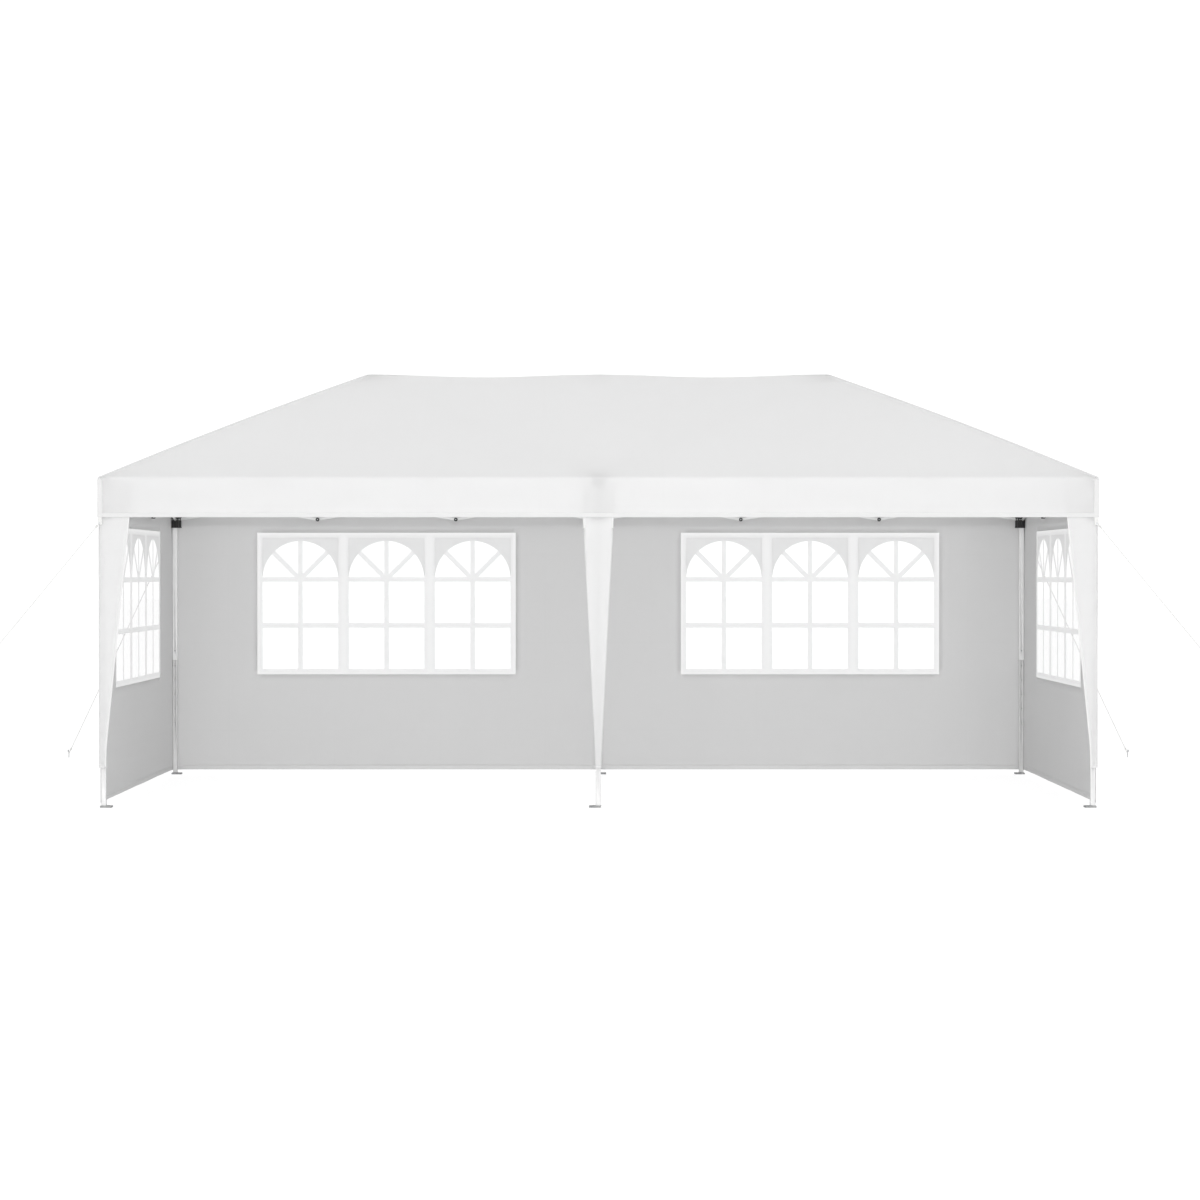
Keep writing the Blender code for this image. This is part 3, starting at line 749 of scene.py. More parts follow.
def piece(name, shape, look, stands_for=(), place=None, parent=None, smooth_below=35.0):
    """One piece, from a mesh or a bmesh. It rides on the standing frame, or with its parent."""
    mesh = shape if isinstance(shape, bpy.types.Mesh) else mesh_of(name, shape, smooth_below)
    made = added(name, mesh)
    if not mesh.materials:
        mesh.materials.append(look)
    made.matrix_world = place or Matrix.Identity(4)
    if parent:
        made.parent = parent
        made.matrix_parent_inverse = parent.matrix_world.inverted()
    else:
        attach(made, "root")
    if stands_for:
        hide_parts(*stands_for)
    return made


def thicken(made, thickness, offset=-1.0):
    """Gives an open sheet its thickness."""
    solid = made.modifiers.new("thickness", "SOLIDIFY")
    solid.thickness = thickness
    solid.offset = offset
    solid.use_even_offset = True


def soften(made, width):
    """Rounds the sharp edges."""
    bevel = made.modifiers.new("soft edges", "BEVEL")
    bevel.width = width
    bevel.segments = 2
    bevel.limit_method = "ANGLE"
    bevel.angle_limit = math.radians(40)


def evenly(low, high, count):
    """The ends of as many equal steps from low to high."""
    return [low + (high - low) * index / count for index in range(count + 1)]


def smooth_step(value, low, high):
    """0 below low, 1 above high and smooth between them."""
    part = min(1.0, max(0.0, (value - low) / (high - low)))
    return part * part * (3 - 2 * part)


# Canopy

SLOPE_LENGTH = math.hypot(HALF_WIDTH, RIDGE - EAVE)
VALANCE_DROP = EAVE - VALANCE_BOTTOM
VALANCE_WAVE = 0.0022
# Width of the line that a rafter presses into the roof, and the small folds that fan out from each corner
RAFTER_LINE, CORNER_FOLDS, CORNER_FOLD_REACH = 0.045, 14, 0.45
# Space between the sides of the roof on the cut map
CUT_APART = 20.0
# How close points are sewn into one, and how close to the eave they are bent with it
SEWN, AT_EAVE = 0.0004, 0.0005


def roof_height(cloth, u, v, x):
    """Height of the cloth at v of the way up a slope, where u is 0 in its middle and 1 or -1 at its hips."""
    slack = math.sin(math.pi * v)
    hips = cloth.hip_bulge * slack * abs(u) ** 3
    sag = cloth.slope_sag * slack * (1 - u * u)
    dip = cloth.ridge_dip * math.sin(math.pi * x / HUB_X) ** 2 if abs(x) < HUB_X else 0.0
    return EAVE + (RIDGE - EAVE) * v + hips - sag - dip * v * v


def roof_ripples(cloth, x, y, v):
    """Soft ripples, the lines of the rafters below, and the pull towards each corner."""
    held = math.sin(math.pi * v)
    drift = noise.noise(Vector((x * 1.7, y * 1.7, 0.4))) + 0.5 * noise.noise(Vector((x * 5.0, y * 5.0, 2.1)))
    rafter = abs(abs(x) - HUB_X * v)
    ridge = 1.6 * math.exp(-((rafter / RAFTER_LINE) ** 2)) * smooth_step(abs(y), 0.0, 0.25)
    from_corner = Vector((HALF_LENGTH - abs(x), HALF_WIDTH - abs(y)))
    fold = math.sin(CORNER_FOLDS * math.atan2(from_corner.y, from_corner.x + 0.0001))
    pull = fold * math.exp(-from_corner.length / CORNER_FOLD_REACH)
    return cloth.ripple * held * (drift + ridge + 1.6 * pull)


def roof_slope(cloth, side, long):
    """Places points on a slope: a long one to the front or back, or an end one to the left or right."""
    def place(u, v):
        out = HALF_WIDTH * (1 - v)
        if long:
            x, y = u * (HALF_LENGTH - HALF_WIDTH * v), side * out
        else:
            x, y = side * (HALF_LENGTH - HALF_WIDTH * v), u * out
        return Vector((x, y, roof_height(cloth, u, v, x) + roof_ripples(cloth, x, y, v)))
    return place


def valance_side(side, long):
    """Places points on a valance, where u runs along it and v is 0 at the eave and 1 at the hem."""
    half = HALF_LENGTH if long else HALF_WIDTH

    def place(u, v):
        along = u * half
        wave = noise.noise(Vector((along * 1.6, 3.0 * side + (9.0 if long else 0.0), v * 0.8)))
        out = VALANCE_WAVE * wave * v * (1 - abs(u) ** 10)
        height = EAVE - v * VALANCE_DROP
        if long:
            return Vector((along, side * (HALF_WIDTH + out), height))
        return Vector((side * (HALF_LENGTH + out), along, height))
    return place


def on_eave(vertex):
    """Whether a point is where the roof meets the valance."""
    beside = abs(abs(vertex.co.x) - HALF_LENGTH) < AT_EAVE or abs(abs(vertex.co.y) - HALF_WIDTH) < AT_EAVE
    return beside and abs(vertex.co.z - EAVE) < AT_EAVE


def canopy_shape(cloth):
    """The four slopes and four valances as one sheet, bent softly along the eave."""
    shape = bmesh.new()
    for long, columns, half in ((True, LONG_COLUMNS, HALF_LENGTH), (False, END_COLUMNS, HALF_WIDTH)):
        us = evenly(-1.0, 1.0, columns)
        for side in (-1, 1):
            roof = roof_slope(cloth, side, long)
            axis = 0 if long else 1
            grid(
                shape, us, evenly(0.0, 1.0, SLOPE_ROWS), roof,
                lambda u, v: (roof(u, v)[axis] + side * CUT_APART, v * SLOPE_LENGTH),
            )
            grid(
                shape, us, evenly(0.0, 1.0, VALANCE_ROWS), valance_side(side, long),
                lambda u, v: (u * half + side * CUT_APART, -v * VALANCE_DROP),
            )
    bmesh.ops.remove_doubles(shape, verts=shape.verts[:], dist=SEWN)
    bmesh.ops.recalc_face_normals(shape, faces=shape.faces[:])
    eaves = [edge for edge in shape.edges if all(on_eave(vertex) for vertex in edge.verts)]
    if not eaves:
        raise RuntimeError("The canopy has no eave to bend")
    bmesh.ops.bevel(
        shape, geom=eaves, offset=cloth.eave_bend, segments=3, profile=0.5, affect="EDGES",
        clamp_overlap=True,
    )
    return shape


def hem_profile(thickness, height):
    """A turned hem seen from its end: round below and a step above."""
    half = thickness / 2
    under = half * 0.6
    return [(-half, height), (-half, half), (-under, 0.0), (under, 0.0), (half, half), (half, height)]


def canopy_seams(cloth):
    """Lapped seams down the four hips and the corners of the valance."""
    shape = bmesh.new()
    half, lift = cloth.seam / 2, cloth.thickness
    fall = half * (RIDGE - EAVE) / HALF_WIDTH / math.sqrt(2)
    bent = [
        (-half, lift - fall), (0.0, lift * 1.6), (half, lift - fall),
        (half, -lift * 0.2 - fall), (0.0, -lift * 0.2), (-half, -lift * 0.2 - fall),
    ]
    levels = evenly(VALANCE_BOTTOM + cloth.hem, EAVE - cloth.eave_bend, 6)
    for side_x in (-1, 1):
        for side_y in (-1, 1):
            slope = roof_slope(cloth, side_y, True)
            # The seam stops just short of the eave and the ridge
            swept(shape, [slope(side_x, v) for v in evenly(0.006, 0.994, 60)], bent)
            out_x, out_y = side_x * (HALF_LENGTH + lift), side_y * (HALF_WIDTH + lift)
            back_x, back_y = out_x - side_x * cloth.seam, out_y - side_y * cloth.seam
            skin_x, skin_y = out_x - side_x * lift * 0.9, out_y - side_y * lift * 0.9
            corner = (
                (back_x, out_y), (out_x, out_y), (out_x, back_y), (skin_x, back_y),
                (skin_x, skin_y), (back_x, skin_y),
            )
            lofted(shape, [[(x, y, level) for x, y in corner] for level in levels])
    return shape


def canopy_hem(cloth):
    """The turned hem round the bottom of the valance."""
    path = []
    for long, side, columns in (
        (True, -1, LONG_COLUMNS), (False, 1, END_COLUMNS), (True, 1, LONG_COLUMNS), (False, -1, END_COLUMNS),
    ):
        place = valance_side(side, long)
        way = -side if long else side
        path += [place(u * way, 1.0) for u in evenly(-1.0, 1.0, columns)[:-1]]
    shape = bmesh.new()
    swept(shape, path, hem_profile(cloth.thickness * 3.4, cloth.hem), closed=True)
    return shape


class MARQUEE_OT_canopy(bpy.types.Operator):
    """Sews the roof and its valance as one sheet, with its seams and hem"""
    bl_idname = "marquee.canopy"
    bl_label = "Canopy"

    def execute(self, context):
        cloth = context.scene.marquee_cloth
        doubled = doubled_cloth("seam_colour")
        cover = piece("canopy_cover", canopy_shape(cloth), canopy_cloth(), [
            kind + side
            for kind in ("roof_", "valance_") for side in ("front", "back", "left_end", "right_end")
        ], smooth_below=50.0)
        thicken(cover, cloth.thickness)
        seams = piece("canopy_seams", canopy_seams(cloth), doubled, parent=cover)
        hem = piece("canopy_hem", canopy_hem(cloth), doubled, parent=cover)
        return {"FINISHED"}


# Walls and windows

WALLS = {
    "back_wall_left": "back_window_left", "back_wall_right": "back_window_right",
    "left_end_wall": "left_end_window", "right_end_wall": "right_end_window",
}
# How far the cloth stops short of its solid's edge, at a corner leg and at the middle one
CORNER_ROOM, MIDDLE_ROOM = 0.0056, 0.0010
# How far the cloth is drawn in at a leg, how near to its edge, and the heights between which this fades
LEG_HOLD, HOLD_REACH, HOLD_FADE, HOLD_TOP = 0.0042, 0.045, 1.55, 1.70
# How much further it is drawn in at the thinner inner tube, and the height over which it gets there
INNER_TUBE_HOLD, INNER_TUBE_FADE = (UPPER_TUBE - LOWER_TUBE) / 2, 0.15
# How far a fold may hang inwards elsewhere
FOLD_INWARDS = 0.003
FILM_INSET, FILM_THICKNESS = 0.012, 0.0004


def edge_room(edge):
    """How far the cloth stops short of this edge of its wall."""
    return CORNER_ROOM if abs(edge) > HALF_WIDTH / 2 else MIDDLE_ROOM


class WallPlace:
    """A wall's plane, from its solid: how far it runs, and where a point along, up and out of it is."""

    def __init__(self, wall):
        low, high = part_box(wall)
        window_low, window_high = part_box(WALLS[wall])
        self.axis = 0 if high.x - low.x > high.y - low.y else 1
        self.middle = (low + high) / 2
        self.start = low[self.axis] + edge_room(low[self.axis])
        self.end = high[self.axis] - edge_room(high[self.axis])
        self.bottom, self.top = low.z, high.z
        self.window_start, self.window_end = window_low[self.axis], window_high[self.axis]
        self.window_bottom, self.window_top = window_low.z, window_high.z
        self.window_width = self.window_end - self.window_start
        self.window_height = self.window_top - self.window_bottom
        self.out = math.copysign(1.0, self.middle[1 - self.axis])

    def at(self, along, height, out=0.0):
        """The point this far along, up and out of the wall's plane."""
        point = Vector((0.0, 0.0, height))
        point[self.axis] = along
        point[1 - self.axis] = self.middle[1 - self.axis] + self.out * out
        return point

    def upright(self):
        """Stands a drawing in X and Y, from the window's lower corner, in the wall's plane."""
        across = Vector((1, 0, 0)) if self.axis == 0 else Vector((0, 1, 0))
        up = Vector((0, 0, 1))
        turn = Matrix((across, up, across.cross(up))).transposed().to_4x4()
        return Matrix.Translation(self.at(self.window_start, self.window_bottom)) @ turn


def wall_fold(cloth, wall, along, height):
    """How far the hanging cloth stands out. It is held to the legs, at its top and round the window."""
    seed = wall.middle.x * 1.3 + wall.middle.y * 0.7
    broad = noise.noise(Vector((along * 1.9, height * 0.35, seed)))
    narrow = noise.noise(Vector((along * 7.0, height * 1.1, seed + 5.0)))
    drape = cloth.wall_fold * (broad + 0.35 * narrow)
    beside = max(wall.window_start - along, along - wall.window_end, 0.0)
    above = max(wall.window_bottom - height, height - wall.window_top, 0.0)
    from_end = min(along - wall.start, wall.end - along)
    loose = (
        smooth_step(math.hypot(beside, above), 0.005, 0.20)
        * smooth_step(from_end, 0.0, 0.15)
        * smooth_step(wall.top - height, 0.15, 0.45)
    )
    at_leg = 1 - smooth_step(from_end, HOLD_REACH, 3 * HOLD_REACH)
    held = at_leg * (1 - smooth_step(height, HOLD_FADE, HOLD_TOP))
    at_inner_tube = 1 - smooth_step(height, LEG_TUBE_BOTTOM - INNER_TUBE_FADE, LEG_TUBE_BOTTOM)
    return max(drape, -FOLD_INWARDS) * loose - (LEG_HOLD + INNER_TUBE_HOLD * at_inner_tube) * held


def stops(*marks):
    """Evenly spaced places from each mark to the next, about a wall step apart."""
    places = [marks[0]]
    for low, high in zip(marks, marks[1:]):
        places += evenly(low, high, max(1, round((high - low) / WALL_STEP)))[1:]
    return places


def wall_shape(cloth, wall):
    """The hanging cloth, with an opening for its window."""
    shape = bmesh.new()
    grid(
        shape, stops(wall.start, wall.window_start, wall.window_end, wall.end),
        stops(wall.bottom, wall.window_bottom, wall.window_top, wall.top),
        lambda u, v: wall.at(u, v, wall_fold(cloth, wall, u, v)), lambda u, v: (u, v),
    )
    window = [
        face for face in shape.faces
        if wall.window_start < face.calc_center_median()[wall.axis] < wall.window_end
        and wall.window_bottom < face.calc_center_median().z < wall.window_top
    ]
    bmesh.ops.delete(shape, geom=window, context="FACES")
    return shape


def wall_hems(cloth, wall):
    """Turned hems along the bottom and up both sides."""
    shape = bmesh.new()
    profile = hem_profile(cloth.thickness * 2.2, cloth.hem)

    def hanging(along, height):
        """A point of the folded cloth."""
        return wall.at(along, height, wall_fold(cloth, wall, along, height))

    swept(shape, [hanging(along, wall.bottom) for along in stops(wall.start, wall.end)], profile)
    for edge, inward in ((wall.start, 1), (wall.end, -1)):
        inwards = Vector((0, 0, 0))
        inwards[wall.axis] = inward
        side = [hanging(edge, height) for height in stops(wall.bottom + cloth.hem, wall.top)]
        swept(shape, side, profile, up=inwards)
    return shape


class MARQUEE_OT_walls(bpy.types.Operator):
    """Hangs the four walls, each with an opening for its window"""
    bl_idname = "marquee.walls"
    bl_label = "Walls"

    def execute(self, context):
        cloth = context.scene.marquee_cloth
        doubled = doubled_cloth("hem_colour")
        for name in WALLS:
            wall = WallPlace(name)
            sheet = piece(
                name + "_cloth", wall_shape(cloth, wall), wall_cloth(), [name],
                smooth_below=50.0,
            )
            thicken(sheet, cloth.thickness, 0.0)
            hems = piece(name + "_hems", wall_hems(cloth, wall), doubled, parent=sheet)
            width, height = wall.end - wall.start, wall.top - wall.bottom
            width * height - wall.window_width * wall.window_height
        return {"FINISHED"}


def pane(left, right, bottom, top, corner=0.006):
    """A clear rectangle between bars, with slightly round corners."""
    middle_x, middle_y = (left + right) / 2, (bottom + top) / 2
    return [
        (middle_x + x, middle_y + y)
        for x, y in rounded((right - left) / 2, (top - bottom) / 2, corner, 2)
    ]


def to_arch(windows, half_width, point, way):
    """The place where a line from a point reaches the arch, measured from the middle of its foot."""
    wide, tall = half_width ** 2, windows.arch_rise ** 2
    square = way.x ** 2 / wide + way.y ** 2 / tall
    cross = point.x * way.x / wide + point.y * way.y / tall
    short = point.x ** 2 / wide + point.y ** 2 / tall - 1
    return point + way * ((math.sqrt(cross ** 2 - square * short) - cross) / square)


def fan_outline(windows, foot, half_width, rise):
    """The space over the upper bar with the spokes of the fan standing in it, as one outline."""
    bar = windows.bar / 2
    turns = [math.radians(turn) for turn in (180, 135, 90, 45, 0)]
    ways = [Vector((math.cos(turn), math.sin(turn))) for turn in turns]
    sides = [Vector((-way.y, way.x)) * bar for way in ways]
    points = [Vector((x, y)) for x, y in (
        (half_width, bar), (half_width, rise), (-half_width, rise), (-half_width, bar),
    )]
    for index in range(1, len(ways)):
        between = math.tan((turns[index - 1] - turns[index]) / 2)
        points.append(ways[index] * (bar / between) + sides[index])
        if index < len(ways) - 1:
            for side in (sides[index], -sides[index]):
                points.append(to_arch(windows, half_width, side, ways[index]))
    return [tuple(foot + point) for point in points]


def window_drawings(windows, wall):
    """Outlines of the white trim with its clear panes, and of the spandrels over the arches."""
    width, height = wall.window_width, wall.window_height
    border, bar, light = windows.border, windows.bar / 2, width / LIGHTS
    upper, lower = windows.upper_bar - wall.window_bottom, windows.lower_bar - wall.window_bottom
    trim, spandrels = [pane(0.0, width, 0.0, height, 0.012)], []
    for index in range(LIGHTS):
        left, right = index * light + border, (index + 1) * light - border
        centre, half_width, top = (left + right) / 2, (right - left) / 2, height - border
        for low, high in ((left, centre - bar), (centre + bar, right)):
            trim.append(pane(low, high, border, lower - bar))
            trim.append(pane(low, high, lower + bar, upper - bar))
        arch = [
            (centre + half_width * math.cos(turn), upper + windows.arch_rise * math.sin(turn))
            for turn in evenly(0.0, math.pi, 32)
        ]
        foot = upper + 0.02
        spandrels.append([(right, foot), (right, top), (left, top), (left, foot), *arch[-2:1:-1]])
        trim.append(fan_outline(windows, Vector((centre, upper)), half_width, top - upper))
    return trim, spandrels


class MARQUEE_OT_windows(bpy.types.Operator):
    """Sets clear film and a white trim with arched bars into each wall"""
    bl_idname = "marquee.windows"
    bl_label = "Windows"

    def execute(self, context):
        windows = context.scene.marquee_windows
        for wall_name, name in WALLS.items():
            wall = WallPlace(wall_name)
            place, width, height = wall.upright(), wall.window_width, wall.window_height
            clear = pane(FILM_INSET, width - FILM_INSET, FILM_INSET, height - FILM_INSET, 0.01)
            sheet = filled([clear], -FILM_THICKNESS / 2, FILM_THICKNESS / 2)
            film = piece(name + "_film", sheet, clear_film(), [name], place)
            trim, spandrels = window_drawings(windows, wall)
            for part, drawing, half, look in (
                ("_trim", trim, windows.thickness / 2, window_trim(width, height)),
                ("_spandrels", spandrels, windows.thickness * 0.7 / 2, window_corners()),
            ):
                shape = filled(drawing, -half, half)
                piece(name + part, shape, look, place=place, parent=film)
        return {"FINISHED"}


# Leg covers

COVER_BOTTOM, COVER_TOP = (corner.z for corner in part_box("leg_cover_left"))
COVER_CORNER_X, COVER_CORNER_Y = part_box("leg_cover_right")[1].x, -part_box("leg_cover_right")[0].y
COVER_BEND, COVER_HEM, ANKLE_HEM, COVER_COLUMNS = 0.009, 0.012, 0.014, 44
# Least width at the ankle, and how the width grows above it
COVER_LEAST = {"corner": 0.042, "middle": 0.036}
COVER_TAPER_WIDTH, COVER_TAPER_RATE, COVER_TAPER_ROUND = 0.031, 0.102, 0.006
# How far the middle cover turns back beside its leg, and up to which height
COVER_RETURN, COVER_RETURN_TOP = 0.045, 1.70


def cover_width(kind, height):
    """Width of one wing of a corner cover, or of the whole front of the middle one."""
    least = COVER_LEAST[kind]
    more = COVER_TAPER_WIDTH + COVER_TAPER_RATE * (height - COVER_BOTTOM) - least
    return least + 0.5 * (more + math.hypot(more, COVER_TAPER_ROUND))


def round_bend(distance):
    """How far back from a sharp corner the cloth is, along both its sides, at a distance round the bend."""
    half_arc = COVER_BEND * math.pi / 4
    if distance <= -half_arc:
        return -distance - half_arc + COVER_BEND, 0.0
    if distance >= half_arc:
        return 0.0, distance - half_arc + COVER_BEND
    turn = math.pi / 4 * (1 + distance / half_arc)
    return COVER_BEND * (1 - math.sin(turn)), COVER_BEND * (1 - math.cos(turn))


def cover_ripple(seed, across, height, at_edge):
    """How far the soft folds of a cover stand out. They fade towards the tied ankle and the valance."""
    loose = smooth_step(height, COVER_BOTTOM, 0.7) * smooth_step(COVER_TOP - height, 0.1, 0.6)
    broad = noise.noise(Vector((across * 11.0, height * 1.6, seed)))
    narrow = noise.noise(Vector((across * 34.0, height * 2.4, seed + 3.0)))
    curl = 0.004 * smooth_step(at_edge, 0.75, 1.0)
    return loose * (0.0022 * broad + 0.0008 * narrow - curl)


def corner_cover(side):
    """Places points on a corner cover: u runs from its front edge round the corner to its end edge."""
    def place(u, height):
        distance = u * cover_width("corner", height)
        back_x, back_y = round_bend(distance)
        out = cover_ripple(side * 7.0, distance, height, abs(u))
        x, y = COVER_CORNER_X - back_x, COVER_CORNER_Y - back_y
        if u < 0:
            y += out
        else:
            x += out
        return Vector((side * x, -y, height))
    return place


def middle_cover(u, height):
    """Places points on the middle cover: u runs from its left edge over the front to its right edge."""
    half = cover_width("middle", height) / 2
    back = COVER_RETURN * (1 - smooth_step(height, COVER_RETURN_TOP - 0.10, COVER_RETURN_TOP))
    distance = abs(u) * (half + back)
    back_x, back_y = round_bend(distance - half) if back > COVER_BEND else (max(half - distance, 0.0), 0.0)
    out = cover_ripple(1.5, math.copysign(distance, u), height, 0.0) if distance < half else 0.0
    x = max(half - back_x, 0.0)
    return Vector((math.copysign(x, u), -COVER_CORNER_Y - out + back_y, height))


def cover_shape(place, kind):
    """The hanging cloth of one cover."""
    shape = bmesh.new()
    us = evenly(-1.0, 1.0, COVER_COLUMNS)
    heights = evenly(COVER_BOTTOM, COVER_TOP, round((COVER_TOP - COVER_BOTTOM) / COVER_STEP))
    grid(shape, us, heights, place, lambda u, height: (u * cover_width(kind, height), height))
    return shape


def cover_hems(cloth, place):
    """Turned hems along both long edges and round the ankle."""
    shape = bmesh.new()
    thick, half = cloth.thickness * 2.6, COVER_HEM / 2
    flat = [(-half, -thick / 2), (half, -thick / 2), (half, thick / 2), (-half, thick / 2)]
    heights = evenly(COVER_BOTTOM, COVER_TOP, 60)
    for edge in (-1.0, 1.0):
        inwards = [place(0.9 * edge, height) - place(edge, height) for height in heights]
        path = [place(edge, height) + way.normalized() * half for height, way in zip(heights, inwards)]
        swept(shape, path, flat, up=[way.cross(Vector((0, 0, 1))) for way in inwards])
    ankle = [place(u, COVER_BOTTOM) for u in evenly(-1.0, 1.0, COVER_COLUMNS)]
    swept(shape, ankle, hem_profile(thick, ANKLE_HEM))
    return shape


class MARQUEE_OT_leg_covers(bpy.types.Operator):
    """Drapes the tapering covers over the front legs"""
    bl_idname = "marquee.leg_covers"
    bl_label = "Leg covers"

    def execute(self, context):
        cloth = context.scene.marquee_cloth
        doubled = doubled_cloth("hem_colour")
        tall = COVER_TOP - COVER_BOTTOM
        levels = evenly(COVER_BOTTOM, COVER_TOP, 50)
        for name, place, kind, wings, back in (
            ("leg_cover_left", corner_cover(-1), "corner", 2.0, 0.0),
            ("leg_cover_middle", middle_cover, "middle", 1.0, COVER_RETURN),
            ("leg_cover_right", corner_cover(1), "corner", 2.0, 0.0),
        ):
            sheet = piece(
                name + "_cloth", cover_shape(place, kind), canopy_cloth(), [name],
                smooth_below=60.0,
            )
            thicken(sheet, cloth.thickness, 0.0)
            hems = piece(name + "_hems", cover_hems(cloth, place), doubled, parent=sheet)
            mean = sum(cover_width(kind, level) for level in levels) / len(levels)
            returns = 2 * back * (COVER_RETURN_TOP - COVER_BOTTOM)
            widest = wings * cover_width(kind, COVER_TOP) + 2 * back
            min(wings * mean * tall + returns, widest * tall)
        return {"FINISHED"}


# Legs, brackets and sliders

# How far a leg's tube reaches into its bracket, and the bracket's room under the cloth
TUBE_IN_BRACKET, BRACKET_ROOM = 0.02, 0.002
BUTTON_HEIGHT, BUTTON_HOLE = 0.865, 0.0045
STEP_HEIGHTS, STEP_HOLE = (0.36, 0.46, 0.56, 0.66, 0.76), 0.0042
FOOT_CORNER, PEG_HOLE, PEG_HOLE_OFFSET = 0.009, 0.0045, 0.024
FORK_CHAMFER, DRILL_REACH = 0.0005, 0.04
# A slider's thicker bands at its top and bottom, how far its middle draws in, and its room round the tube
SLIDER_BAND, SLIDER_WAIST, SLIDER_ROOM = 0.009, 0.0016, 0.0005


def bracket_outline(forks, shrink=0.0):
    """The outline of a block round a leg, with a slotted fork on each side that holds a truss."""
    reaches = [
        (BRACKET_INNER_REACH if side in forks else BRACKET_OUTER_REACH) - shrink for side in range(len(SIDES))
    ]
    tip, half_width = FORK_TIP - shrink, FORK_HALF_WIDTH - shrink
    points = []
    for side, (out_x, out_y) in enumerate(SIDES):
        before = SIDES[side - 1]
        reach, reach_before = reaches[side], reaches[side - 1]
        points.append((out_x * reach + before[0] * reach_before, out_y * reach + before[1] * reach_before))
        if side not in forks:
            continue
        prong = (
            (reach, half_width), (tip, half_width - FORK_CHAMFER), (tip, FORK_HALF_SLOT + FORK_CHAMFER),
            (FORK_SLOT_START, FORK_HALF_SLOT),
        )
        other = [(distance, -offset) for distance, offset in prong]
        for distance, offset in (*other, *prong[::-1]):
            points.append((out_x * distance - out_y * offset, out_y * distance + out_x * offset))
    return points


def pivot_bolts(forks, height):
    """A bolt through each fork."""
    bolts = bmesh.new()
    for side in forks:
        out_x, out_y = SIDES[side]
        spot = (out_x * PIVOT_OFFSET, out_y * PIVOT_OFFSET, height)
        bolt(bolts, spot, (out_y, -out_x, 0), FORK_HALF_WIDTH, bpy.context.scene.marquee_parts.bolt)
    return bolts


def holed_tube(name, shape, heights, radius):
    """A tube's mesh with round holes through it from side to side."""
    tube = added(name, mesh_of(name, shape))
    faces = len(tube.data.polygons)
    holes = bmesh.new()
    for height in heights:
        turned(holes, (0, 0, height), (0, 1, 0), [(radius, -DRILL_REACH), (radius, DRILL_REACH)], 12)
    drill = added("drill", mesh_of("drill", holes))
    cut = tube.modifiers.new("holes", "BOOLEAN")
    cut.operation = "DIFFERENCE"
    cut.solver = "EXACT"
    cut.object = drill
    drilled = evaluated(tube)
    bpy.data.objects.remove(drill)
    if len(drilled.polygons) <= faces:
        raise RuntimeError(f"The {name} couldn't be drilled")
    drilled.materials.clear()
    return drilled


def snap_button(inwards):
    """The sprung button that locks the inner tube."""
    shape = bmesh.new()
    inner, outer = LOWER_TUBE / 2, UPPER_TUBE / 2
    turned(shape, (0, 0, BUTTON_HEIGHT), (0, inwards, 0), [
        (0.004, inner - 0.002), (0.004, outer + 0.0015), (0.003, outer + 0.0028), (0.0012, outer + 0.0033),
    ], 16)
    return shape


def foot_shape(centre, inwards):
    """A pressed plate with a peg hole, and the weld bead round the leg that stands on it."""
    across = math.copysign(FOOT_OFFSET_CORNER, -centre.x) if centre.x else -inwards * FOOT_OFFSET_MIDDLE
    middle = Vector((across, inwards * FOOT_OFFSET_CORNER))
    hole = middle + Vector((math.copysign(PEG_HOLE_OFFSET, across), inwards * PEG_HOLE_OFFSET))
    plate = [middle + Vector(point) for point in rounded(FOOT_PLATE / 2, FOOT_PLATE / 2, FOOT_CORNER, 4)]
    shape = filled(
        [plate, [hole + Vector(point) for point in circle(PEG_HOLE, 16)]], 0.0, FOOT_PLATE_THICKNESS,
    )
    half = LOWER_TUBE / 2
    bead = ((0.0040, -0.0006), (0.0034, 0.0012), (0.0018, 0.0028), (0.0002, 0.0036))
    lofted(shape, [
        [(x, y, FOOT_PLATE_THICKNESS + rise) for x, y in rounded(half + reach, half + reach, 0.005, 4)]
        for reach, rise in bead
    ])
    return shape


